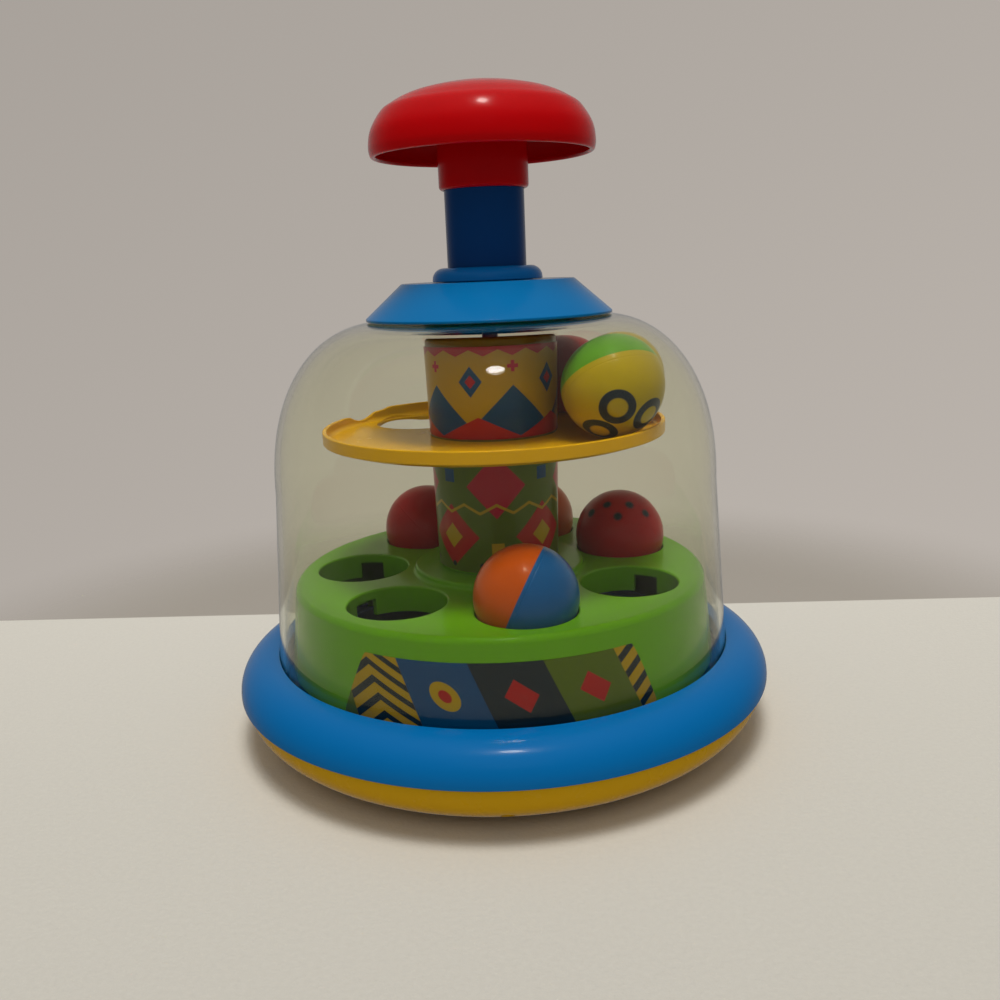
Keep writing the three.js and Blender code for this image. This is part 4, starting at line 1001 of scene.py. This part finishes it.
class BALLTOWER_OT_top(Operator):
    """Adds the blue cap on the dome and the collar that guides the tube"""

    bl_idname = "ball_tower.top"
    bl_label = "Cap and collar"

    def execute(self, context):
        settings = context.scene.ball_tower.top
        self.cap(settings, context.scene.ball_tower.dome.wall)
        self.collar(settings)
        return {"FINISHED"}

    def cap(self, settings, dome_wall):
        """A hollow cone with an upright hem, on a spigot that fits into the dome's mouth."""
        edge, _, top = reach("cone_cap")
        low = reach("clear_dome")[2] - dome_wall - SEAT
        bottom, rim, wall = top - settings.cap_height, edge - settings.cap_slope, settings.cap_wall
        inner, bore = settings.spigot - wall, settings.sleeve + SEAT
        profile = rounded([
            [inner, low, 0], [settings.spigot, low, CRISP], [settings.spigot, bottom, 0],
            [edge, bottom, EASED], [edge, bottom + settings.cap_hem, SOFT], [rim, top, settings.cap_edge],
            [bore, top, 0], [bore, top - wall, 0], [rim - wall, top - wall, 0],
            [edge - 2 * wall, bottom + wall, 0], [inner, bottom + wall, 0],
        ])
        finish = moulded("cap_blue", settings.cap_colour, roughness=0.22)
        lathed(profile, "cap", finish, "stand", "blue", "cone_cap")

    def collar(self, settings):
        """A rounded collar on a sleeve that hangs in the cap.

        Its profile ends a little over its foot in the bore, because a last corner isn't rounded."""
        radius, low, high = reach("guide_collar")
        seat, last_row = high - settings.collar_height + SEAT, low + 1 * MM
        profile = rounded([
            [settings.bore, low, 0], [settings.sleeve, low, CRISP], [settings.sleeve, seat, 0],
            [radius, seat, CRISP], [radius, high, settings.collar_edge], [settings.bore, high, FULL],
            [settings.bore, last_row, 0],
        ])
        finish = moulded("collar_blue", settings.collar_colour, roughness=0.25)
        lathed(profile, "collar", finish, "stand", "navy", "guide_collar")


# The knob's half section from its rim to its crown, in shares of its radius and of its height
KNOB_SHARES = (
    (0.984, 0), (1, 0.146), (0.974, 0.38), (0.885, 0.614), (0.804, 0.711), (0.7, 0.8), (0.564, 0.875),
    (0.3, 0.965), (0, 1),
)
NECK_SHARE = 0.2


class BALLTOWER_OT_plunger(Operator):
    """Adds the red knob and the tube under it"""

    bl_idname = "ball_tower.plunger"
    bl_label = "Knob and tube"

    def execute(self, context):
        settings = context.scene.ball_tower.plunger
        self.knob(settings)
        self.tube(settings)
        return {"FINISHED"}

    def knob(self, settings):
        """A crown, walled along its outer line moved in by half the wall, and a neck that holds the tube.

        The neck ends in the crown's hollow, NECK_SHARE of the knob's height under the top."""
        radius, neck_foot, top = reach("push_knob")
        rim = top - settings.knob_height
        line = smooth_line(np.array(KNOB_SHARES) * (radius, settings.knob_height) + (0, rim))
        slope = np.gradient(line, axis=0)
        inward = np.stack([-slope[:, 1], slope[:, 0]], -1) / np.linalg.norm(slope, axis=1)[:, None]
        line = line + inward * settings.knob_wall / 2
        line[-1, 0] = 0
        bore, outer, neck_top = settings.tube + SEAT, settings.neck, top - settings.knob_height * NECK_SHARE
        neck = rounded([
            [bore, neck_foot, 0], [outer, neck_foot, settings.neck_edge], [outer, neck_top, 0],
            [bore, neck_top, 0],
        ])
        knob = Skin().add(turned(walled(line, settings.knob_wall))).add(turned(closed(neck)))
        glow = {"Subsurface Weight": 0.4, "Subsurface Radius": (1.0, 0.1, 0.05), "Subsurface Scale": 6 * MM}
        finish = moulded("knob_red", settings.knob_colour, roughness=0.2, **glow)
        knob.make("knob", finish, "plunger", "red", "push_knob")

    def tube(self, settings):
        """A tube with a flange at its foot that stops it under the collar."""
        stop, low, high = reach("plunger_tube")
        ledge, bore = low + settings.stop_height, settings.tube - settings.tube_wall
        profile = rounded([
            [bore, low, 0], [stop, low, CRISP], [stop, ledge, CRISP], [settings.tube, ledge, 0],
            [settings.tube, high, CRISP], [bore, high, 0],
        ])
        # The tube's navy is painted shade: the collar's blue darkened for the knob's shadow
        finish = moulded("tube_navy_painted_shade", settings.tube_colour_painted_shade, roughness=0.26)
        lathed(profile, "tube", finish, "plunger", "navy", "plunger_tube")


def column_radius(settings, height):
    """The column's radius at a height: it widens evenly from its foot to its mouth."""
    foot, mouth = reach("column_lower")[1], reach("column_upper")[2]
    return np.interp(height, [foot, mouth], [settings.column_foot, settings.column_head])


class BALLTOWER_OT_carousel(Operator):
    """Adds the green disc with its wells and skirt, and the column on it"""

    bl_idname = "ball_tower.carousel"
    bl_label = "Carousel"

    def execute(self, context):
        settings = context.scene.ball_tower.carousel
        finish = moulded("carousel_green", settings.disc_colour, roughness=0.25)
        self.disc(settings, finish)
        self.column(settings, finish)
        return {"FINISHED"}

    def disc(self, settings, finish):
        """Sectors of a ring, one round each well, between a turned boss and a turned skirt.

        The edge's rounding is a little less than its width, because the skirt leans out under it."""
        skirt, hub_foot, boss_top = reach("carousel_disc")
        top = boss_top - settings.boss_height
        under, rim, wall = top - settings.plate, skirt - settings.flare, settings.wall
        half, sector_steps = math.pi / settings.wells, 36
        inner, outer = settings.boss + settings.boss_height / 2, rim - settings.edge
        loop = sector_loop(inner, outer, half, sector_steps, np.linspace(inner, outer, 16))
        cup, cup_foot = settings.well + settings.cup_wall, top - settings.cup_depth
        well = hole_wall(loop, np.array([settings.pitch, 0]), rounded([
            [settings.well + 2 * settings.lip, top, 0], [settings.well, top, settings.lip],
            [settings.well, cup_foot, CRISP], [cup, cup_foot, CRISP], [cup, under, 0],
        ]))
        skin = Skin()
        for angle in settings.phase + np.arange(settings.wells) * 2 * half:
            for grid in (apron(well[0], loop), well, apron(well[-1], loop)):
                skin.add(moved(grid, (0, 0, 0), angle))
        angle = full_turn(sector_steps * settings.wells, settings.phase - half)
        edge_share = 0.98
        skirt_line = rounded([
            [outer, top, 0], [rim, top, settings.edge * edge_share], [skirt, settings.skirt_foot, SOFT],
            [skirt - wall, settings.skirt_foot, SOFT], [rim - wall, under, 0], [outer, under, 0],
        ], steps=8)
        boss, hub, bore = settings.boss, settings.hub, settings.hub_bore
        boss_line = rounded([
            [inner, top, 0], [boss, top, settings.boss_fillet], [boss, boss_top, settings.boss_edge],
            [bore, boss_top, 0], [bore, hub_foot, 0], [hub, hub_foot, 0], [hub, under, 0], [inner, under, 0],
        ])
        disc = skin.add(turned(skirt_line, angle)).add(turned(boss_line, angle)).solid("disc")
        side, end = settings.window_width / 2, cup + OVERRUN
        notch = np.array([[side, -end], [side, end], [-side, end], [-side, -end], [side, -end]])
        window = prism(notch, cup_foot - OVERRUN, cup_foot + settings.window_height)
        windows = ring_of(window, settings.wells, settings.pitch, settings.phase)
        worked(disc, many(windows).solid("windows"))
        seated(disc, finish, "carousel", "green", "carousel_disc")

    def column(self, settings, finish):
        """Two tapered tubes with the tray clamped between them. The mouth turns in at its top."""
        low, high = reach("column_lower")[1:]
        bore, wall = settings.column_bore, settings.column_wall
        head, shoulder = settings.column_head, settings.shoulder
        profile = rounded([
            [bore, low, 0], [column_radius(settings, low), low, CRISP],
            [column_radius(settings, high), high, CRISP], [bore, high, 0],
        ])
        lathed(profile, "column_foot", finish, "carousel", "green", "column_lower")
        low, high = reach("column_upper")[1:]
        floor, bend, turned_in = low + settings.column_floor, shoulder * 0.9, shoulder * 0.4
        profile = rounded([
            [bore, low, 0], [column_radius(settings, low), low, CRISP], [head, high, bend],
            [head - wall - shoulder, high, SOFT], [head - wall - turned_in, high - 2 * shoulder, 0],
            [column_radius(settings, floor) - wall, floor, 0], [bore, floor, 0],
        ])
        olive = moulded("column_olive", settings.mouth_colour, roughness=0.3)
        lathed(profile, "column_mouth", olive, "carousel", "green", "column_upper")


class BALLTOWER_OT_tray(Operator):
    """Adds the yellow tray with its rim, raised wall, dip and drop hole"""

    bl_idname = "ball_tower.tray"
    bl_label = "Tray"

    def execute(self, context):
        settings = context.scene.ball_tower.tray
        outer, low, _ = reach("drop_tray")
        recess = column_radius(context.scene.ball_tower.carousel, settings.floor) + SEAT
        tray = self.dish(settings, outer, low, recess)
        pitch = (recess + (outer - settings.rim_wall)) / 2
        worked(tray, self.drop_hole(settings, low, pitch))
        finish = moulded("tray_yellow", settings.tray_colour, roughness=0.26)
        seated(tray, finish, "carousel", "yellow", "drop_tray")
        return {"FINISHED"}

    def crest(self, settings, angle):
        """The rim's height over the floor: rim_height + wall_rise s^2 (3 - 2 s) - dip_depth sin(pi d).

        s grows from 0 to 1 up each ramp of the raised wall, and d grows from 0 to 1 across the dip."""
        ramp = np.minimum(angle - settings.wall_start, settings.wall_end - angle) / settings.wall_ramp
        rise = np.clip(ramp, 0, 1)
        dip = np.clip((angle - settings.dip_start) / (settings.dip_end - settings.dip_start), 0, 1)
        crest = settings.rim_height + settings.wall_rise * rise**2 * (3 - 2 * rise)
        return crest - settings.dip_depth * np.sin(np.pi * dip)

    def dish(self, settings, outer, low, recess):
        """The tray without its hole, ring by ring: its floor, fillet, rim and underside.

        A ring stands at floor + lift + with_room room + with_crest crest. The crest changes round the tray,
        and so does room, the share of the fillet that fits under it."""
        floor, fillet, edge = settings.floor, settings.fillet, SOFT
        under, ledge_top = floor - settings.thickness, low + settings.thickness
        inner, foot = outer - settings.rim_wall, floor - settings.rim_drop
        angle = full_turn()
        crest = self.crest(settings, angle)
        room = np.clip((crest - settings.upright) / fillet, 0, 1)
        curve = np.radians(np.linspace(0, 90, 9))
        corner = np.radians(np.linspace(0, 90, 5))
        underside = rounded([
            [outer, floor, 0], [outer, foot, edge], [outer - settings.rim_foot, foot, EASED],
            [outer - settings.undercut, under, settings.undercut_fillet],
            [recess + settings.thickness, under, 0], [recess + settings.thickness / 2, low, 0],
            [settings.ledge_bore, low, 0], [settings.ledge_bore, ledge_top, 0], [recess, ledge_top, 0],
            [recess, floor, 0],
        ])
        flat = np.linspace(recess, inner - fillet, 12)[:-1]
        zero, one = np.zeros_like, np.ones_like
        rows = [
            (flat, zero(flat), zero(flat), zero(flat)),
            (inner - fillet * (1 - np.sin(curve)), zero(curve), fillet * (1 - np.cos(curve)), zero(curve)),
            (inner + edge * (1 - np.cos(corner)), edge * (np.sin(corner) - 1), zero(corner), one(corner)),
            (outer - edge * (1 - np.sin(corner)), edge * (np.cos(corner) - 1), zero(corner), one(corner)),
            (underside[:, 0], underside[:, 1] - floor, zero(underside[:, 0]), zero(underside[:, 0])),
        ]
        radius, lift, with_room, with_crest = (np.concatenate(column)[:, None] for column in zip(*rows))
        height = floor + lift + with_room * room + with_crest * crest
        return Skin().add(around(radius, height, angle)).solid("tray")

    def drop_hole(self, settings, low, pitch):
        """The drop hole's tool, which widens in a quarter round at the floor and stands up into the rim."""
        floor, hole, edge = settings.floor, settings.hole, settings.hole_edge
        profile = np.vstack([
            [[0, low - OVERRUN], [hole, low - OVERRUN]], arc((hole + edge, floor - edge), edge, 180, 90),
            [[hole + edge, floor + settings.hole_reach], [0, floor + settings.hole_reach]],
        ])
        place = (pitch * math.cos(settings.hole_angle), pitch * math.sin(settings.hole_angle), 0)
        return Skin().add(moved(turned(profile, full_turn(sides=96)), place)).solid("drop_hole")


class BALLTOWER_OT_labels(Operator):
    """Adds the printed sleeves round the column and the printed patches on the skirt"""

    bl_idname = "ball_tower.labels"
    bl_label = "Labels"

    def execute(self, context):
        settings = context.scene.ball_tower.labels
        carousel = context.scene.ball_tower.carousel
        for half, art in (("lower", lower_print), ("upper", upper_print)):
            self.sleeve(settings, carousel, half, art)
        low, high = reach("skirt_label_1")[1:]
        finish = skirt_print(settings, high - low)
        for number, turned_by in ((1, 0.0), (2, math.pi)):
            self.patch(settings, carousel, finish, number, settings.first + turned_by)
        return {"FINISHED"}

    def sleeve(self, settings, carousel, half, art):
        """A film round half of the column that follows its taper at an even gap."""
        node = f"column_label_{half}"
        outer, low, high = reach(node)
        gap = outer - column_radius(carousel, high)
        height = np.linspace(low, high, 9)
        outside = np.stack([column_radius(carousel, height) + gap, height], -1)
        profile = closed(np.vstack([outside, (outside - (FILM, 0))[::-1]]))
        angle = full_turn()
        spread = np.stack(np.broadcast_arrays(outer * angle[None, :], profile[:, 1:] - low), -1)
        finish = art(settings, 2 * math.pi * outer, high - low)
        Skin().add(turned(profile, angle), spread).make(f"sleeve_{half}", finish, "carousel", "label", node)

    def patch(self, settings, carousel, finish, number, middle_angle):
        """A bent film over the skirt, lower at its ends.

        Its top stands at end + (height - end) (1 - (1 - s)^1.2) over its foot, where s grows from 0 at each
        end to 1 where the upper edge is level."""
        node = f"skirt_label_{number}"
        _, low, high = reach(node)
        skirt, _, boss_top = reach("carousel_disc")
        top_half, bottom_half, end = settings.top_half, settings.bottom_half, settings.end_height
        slope_way = np.linspace(top_half, bottom_half, 12)
        flat_way = np.linspace(-top_half, top_half, 45)[1:-1]
        angle = np.concatenate([-slope_way[::-1], flat_way, slope_way])
        share = np.clip((bottom_half - abs(angle)) / (bottom_half - top_half), 0, 1)
        crest = end + (high - low - end) * (1 - (1 - share) ** 1.2)
        height = low + np.linspace(0, 1, 9)[:, None] * crest
        skirt_heights = [carousel.skirt_foot, boss_top - carousel.boss_height - carousel.plate]
        radius = np.interp(height, skirt_heights, [skirt, skirt - carousel.flare]) + SEAT
        outside = around(radius + FILM, height, angle + middle_angle)
        inside = around(radius, height, angle + middle_angle)
        flat = np.stack(np.broadcast_arrays(skirt * angle, height - low), -1)
        faces = np.concatenate([outside, inside[::-1], outside[:1]])
        skin = Skin().add(faces, np.concatenate([flat, flat[::-1], flat[:1]]))
        for end_column in (0, -1):
            skin.add(np.stack([outside[:, end_column], inside[:, end_column]]))
        skin.make(f"patch_{number}", finish, "carousel", "label", node)


class BALLTOWER_OT_balls(Operator):
    """Adds the four balls in the wells and the three on the tray"""

    bl_idname = "ball_tower.balls"
    bl_label = "Balls"

    def execute(self, context):
        paints = context.scene.ball_tower.balls
        ring_ways = ((-0.02, -0.956, -0.294), (0.606, -0.619, -0.5), (-0.317, -0.535, -0.783))
        rings = [(way, paints.ring, paints.ring_hole) for way in ring_ways]
        ways, tilts = np.radians((-150, -125, -100, -75, -50)), np.radians((38, 54, 38, 54, 38))
        spot_ways = [around(math.cos(tilt), math.sin(tilt), way) for way, tilt in zip(ways, tilts)]
        spots = [(way, paints.spot, 0) for way in spot_ways]
        plain = ((0, 0, 1), 0.0, ())
        rows = (
            ("well_ball_front", "front_ball", "ball_orange", paints.orange, paints.blue,
             ((0.891, -0.198, -0.409), -0.074, ())),
            ("well_ball_right", "right_ball", "ball_red", paints.red, paints.red,
             ((0.3, 0.5, 0.8), 0.0, spots)),
            ("well_ball_back", "back_ball", "ball_orange", paints.orange, paints.orange, plain),
            ("well_ball_left", "left_ball", "ball_red", paints.red, paints.red, ((0.7, 0.1, 0.7), 0.0, ())),
            ("tray_ball_1", "waiting_ball_1", "ball_yellow", paints.yellow, paints.green,
             ((-0.218, 0.583, 0.783), 0.126, rings)),
            ("tray_ball_2", "waiting_ball_2", "ball_orange", paints.orange, paints.yellow,
             ((0.2, -0.3, 0.9), 0.0, ())),
            ("tray_ball_3", "waiting_ball_3", "ball_red", paints.red, paints.red, plain),
        )
        for node, body, slot, low, high, (axis, level, marks) in rows:
            centre, radius = middle(node)
            finish = ball_print(f"{node}_paint", centre, radius, low, high, axis, level, marks, paints.ink)
            piece = node.replace("_ball", "_toy_ball")
            self.ball(paints, centre, radius, Vector(axis)).make(piece, finish, body, slot, node)
        return {"FINISHED"}

    def ball(self, settings, centre, radius, axis):
        """A sphere whose radius is R - d exp(-(s / w)^2) at a distance s from the seam where its halves meet.

        Its rows lie close together beside the seam and wider apart over each half."""
        half_rows = np.linspace(0, 88.6, 44)
        tilt = np.radians(np.concatenate([half_rows, np.linspace(89, 91, 9), 180 - half_rows[::-1]]))
        dip = settings.seam * np.exp(-(((tilt - np.pi / 2) * radius / settings.seam_width) ** 2))
        profile = (radius - dip)[:, None] * np.stack([np.sin(tilt), -np.cos(tilt)], -1)
        profile[[0, -1], 0] = 0
        rotation = np.array(Vector((0, 0, 1)).rotation_difference(axis).to_matrix())
        return Skin().add(turned(profile, full_turn(sides=96)) @ rotation.T + centre)


INNER_WHITE = (0.72, 0.71, 0.66)
STEEL = (0.5, 0.51, 0.53)


def coil(radius, wire, turns, low, high, end_rise, steps=32, sides=12):
    """A wire wound in a coil that is closed at both ends.

    At turn t its middle lies at the angle 2 pi t. The first and the last turn rise by end_rise, and the turns
    between them by an even pitch. Round the middle, point s lies wire / 2 cos s out and wire / 2 sin s up."""
    turn_number = np.concatenate([[0], np.linspace(0, turns, turns * steps + 1), [turns]])
    size = np.full(len(turn_number), wire / 2)
    size[[0, -1]] = 0
    between = np.clip(turn_number - 1, 0, turns - 2)
    pitch = (high - low - wire - 2 * end_rise) / (turns - 2)
    height = low + wire / 2 + (turn_number - between) * end_rise + between * pitch
    round_wire = full_turn(sides)
    out, up = size[:, None] * np.cos(round_wire), size[:, None] * np.sin(round_wire)
    return around(radius + out, height[:, None] + up, 2 * np.pi * turn_number[:, None])


class BALLTOWER_OT_works(Operator):
    """Gives the inner parts, the spring and the screws their finishes"""

    bl_idname = "ball_tower.works"
    bl_label = "Inner works"

    def execute(self, context):
        pale = moulded("inner_white", INNER_WHITE, roughness=0.42)
        dress(pale, "centre_post", "hub_bush", "clutch_cup", "clutch_cover")
        dress(pale, "spindle_plug", "spindle_foot", "drive_nut")
        screws = [f"ring_screw_{i}" for i in range(1, 7)] + ["knob_screw_1"]
        for kind in ("deck", "column", "tray", "clutch"):
            screws += [f"{kind}_screw_{i}" for i in range(1, 4)]
        steel = plated("zinc_steel", STEEL)
        dress(steel, "thrust_washer", "twisted_spindle", *screws)
        self.spring(context.scene.ball_tower.plunger, steel)
        return {"FINISHED"}

    def spring(self, settings, steel):
        """A coil with its top on the plunger, which moves with it whole and doesn't shorten."""
        radius, low, high = reach("return_spring")
        line = coil(radius - settings.wire / 2, settings.wire, settings.coils, low, high, settings.end_rise)
        spring = Skin().add(line).make("spring", steel, "plunger", "steel", "return_spring")
        travel = next(joint["range_m"][1] for joint in frame["joints"] if joint["name"] == "knob_press")
        1 - travel / (high - low)
        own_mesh(spring)


class BALLTOWER_OT_stage(Operator):
    """Adds the pale floor, the soft lights and the camera"""

    bl_idname = "ball_tower.stage"
    bl_label = "Floor, lights and camera"

    def execute(self, context):
        settings = context.scene.ball_tower.stage
        self.floor(settings)
        self.sky(settings)
        lamp("lamp_above", settings.key, size=0.9, place=(0.06, -0.55, 2.3), shows=False)
        lamp("lamp_glint", settings.glint, size=0.26, place=(0.06, -0.55, 2.28), shows=True)
        front = settings.key * settings.front_share
        lamp("lamp_front", front, size=0.5, place=(0.02, -0.75, 0.72), shows=False)
        camera()
        context.scene.view_settings.view_transform = "Standard"
        return {"FINISHED"}

    def floor(self, settings):
        """A round sheet: pale cloth, a darker floor beyond it, and a fade into the backdrop.

        The cloth ends at the line y + lean x = cloth_edge. Painted light makes it paler away from the camera,
        by 0.6 y, to even out how the lamps' light falls off towards the back. The fade is where sqrt(x^2 +
        y^2) passes fade_at, and nearer by fade_sooner on the darker floor."""
        lean, fade_at, fade_soft, fade_sooner, sheet, drop = 0.046, 0.56, 0.1, 0.2, 0.68, 0.2 * MM
        finish = Finish("floor_cloth")
        x, y, _ = finish.parts(finish.place())
        behind = (y + x * lean).above(settings.cloth_edge, 0.6 * MM)
        nap = finish.noise(2.2 * MM, detail=4, roughness=0.6)
        tone = finish.mix(behind, settings.cloth, settings.shade)
        # Painted light: the cloth is painted paler by 0.6 y away from the camera, to even out the lamps'
        # fall-off
        base = finish.shaded(tone, ((nap - 0.5) * 0.1 + y * 0.6) * (1 - behind))
        normal = finish.bump(nap, depth=0.5 * MM, strength=0.5)
        inputs = {"Base Color": base, "Roughness": 0.9, "Normal": normal}
        cloth = finish.node("ShaderNodeBsdfPrincipled", inputs=inputs)
        gone = finish.node("ShaderNodeBsdfTransparent")
        faded = ((x**2 + y**2) ** 0.5 + behind * fade_sooner).above(fade_at, fade_soft)
        fade = finish.node("ShaderNodeMixShader", inputs={0: faded, 1: cloth, 2: gone})
        disc = Skin().add(around(np.linspace(0, sheet, 12)[:, None], 0, full_turn()[None, :])).solid("floor")
        disc.data.materials.append(finish.done(fade))
        disc.location.z = -drop
        disc.visible_glossy = False

    def sky(self, settings):
        """Soft light from all round. The camera and the glass see a backdrop in its place, with painted light
        that makes it lighter to the right and lower down.

        Gloss sees low_gloss + top_gloss up^4 + back_gloss back^2, brighter overhead and behind the tower."""
        low_gloss, top_gloss, back_gloss = 0.03, 0.4, 0.32
        finish = Finish("studio", bpy.data.worlds)
        aside, back, height = finish.parts(finish.node("ShaderNodeTexCoord", output="Generated"))
        up = height.most(0)
        gloss = finish.node("ShaderNodeLightPath", output="Is Glossy Ray")
        reflected = low_gloss + up**4 * top_gloss + back.most(0) ** 2 * back_gloss
        level = settings.sky * (1 - gloss) + reflected * gloss
        warm = {"Color": (1.0, 0.97, 0.93, 1.0), "Strength": level}
        light = finish.node("ShaderNodeBackground", inputs=warm)
        # Painted light on the backdrop: lighter to the right and lower down, darker higher up
        wall = finish.shaded(tuple(settings.wall), 0.03 + aside * 0.12 - height * 0.25)
        wall = finish.node("ShaderNodeBackground", inputs={"Color": wall})
        seen = finish.node("ShaderNodeLightPath", output="Is Camera Ray")
        seen = seen.most(finish.node("ShaderNodeLightPath", output="Is Transmission Ray"))
        mixed = finish.node("ShaderNodeMixShader", inputs={0: seen, 1: light, 2: wall})
        bpy.context.scene.world = finish.done(mixed, "ShaderNodeOutputWorld")


def lamp(name, power, size, place, shows):
    """A round soft lamp that faces the tower's middle, and shows in gloss and through glass or doesn't."""
    target = Vector((0, 0, 0.12))
    light = bpy.data.lights.new(name, "AREA")
    light.shape = "DISK"
    light.energy, light.size = power, size
    light.color = (1.0, 0.96, 0.9)
    thing = bpy.data.objects.new(name, light)
    thing.location = place
    thing.rotation_euler = (target - Vector(place)).to_track_quat("-Z", "Y").to_euler()
    thing.visible_glossy = shows
    thing.visible_transmission = shows
    bpy.context.scene.collection.objects.link(thing)


def camera():
    """A camera at the photograph's place, found from the tower's own circles.

    It looks down by an angle, aside by the yaw, and leans by the roll."""
    down_by, yaw, roll = (math.radians(degrees) for degrees in (13.43, 0.22, 2.34))
    place = Vector((3.28, -456.7, 217.1)) * MM
    right = Vector((math.cos(yaw), math.sin(yaw), 0))
    level = math.cos(down_by)
    ahead = Vector((-math.sin(yaw) * level, math.cos(yaw) * level, -math.sin(down_by)))
    down = ahead.cross(right)
    across = math.cos(roll) * right + math.sin(roll) * down
    below = -math.sin(roll) * right + math.cos(roll) * down
    lens = bpy.data.cameras.new("camera")
    lens.lens, lens.sensor_width = 34.956, 36
    lens.clip_start, lens.clip_end = 0.01, 20
    eye = bpy.data.objects.new("camera", lens)
    bpy.context.scene.collection.objects.link(eye)
    pose = Matrix((across, -below, -ahead)).transposed().to_4x4()
    pose.translation = place
    eye.matrix_world = pose
    bpy.context.scene.camera = eye


OPERATORS = (
    BALLTOWER_OT_base, BALLTOWER_OT_dome, BALLTOWER_OT_top, BALLTOWER_OT_plunger, BALLTOWER_OT_carousel,
    BALLTOWER_OT_tray, BALLTOWER_OT_labels, BALLTOWER_OT_balls, BALLTOWER_OT_works, BALLTOWER_OT_stage,
)


class BALLTOWER_PT_parts(Panel):
    """Lists the tower's parts in the sidebar"""

    bl_label = "Ball drop tower"
    bl_idname = "BALLTOWER_PT_parts"
    bl_space_type = "VIEW_3D"
    bl_region_type = "UI"
    bl_category = "Ball tower"

    def draw(self, context):
        for operator in OPERATORS:
            self.layout.operator(operator.bl_idname)


CLASSES = (
    BaseSettings, DomeSettings, TopSettings, PlungerSettings, CarouselSettings, TraySettings, LabelSettings,
    BallSettings, StageSettings, TowerSettings, *OPERATORS, BALLTOWER_PT_parts,
)


def register():
    for entry in CLASSES:
        bpy.utils.register_class(entry)
    bpy.types.Scene.ball_tower = PointerProperty(type=TowerSettings)


def unregister():
    del bpy.types.Scene.ball_tower
    for entry in reversed(CLASSES):
        bpy.utils.unregister_class(entry)


def main():
    register()
    bpy.ops.ball_tower.base()
    bpy.ops.ball_tower.dome()
    bpy.ops.ball_tower.top()
    bpy.ops.ball_tower.plunger()
    bpy.ops.ball_tower.carousel()
    bpy.ops.ball_tower.tray()
    bpy.ops.ball_tower.labels()
    bpy.ops.ball_tower.balls()
    bpy.ops.ball_tower.works()
    bpy.ops.ball_tower.stage()


if __name__ == "__main__":
    main()
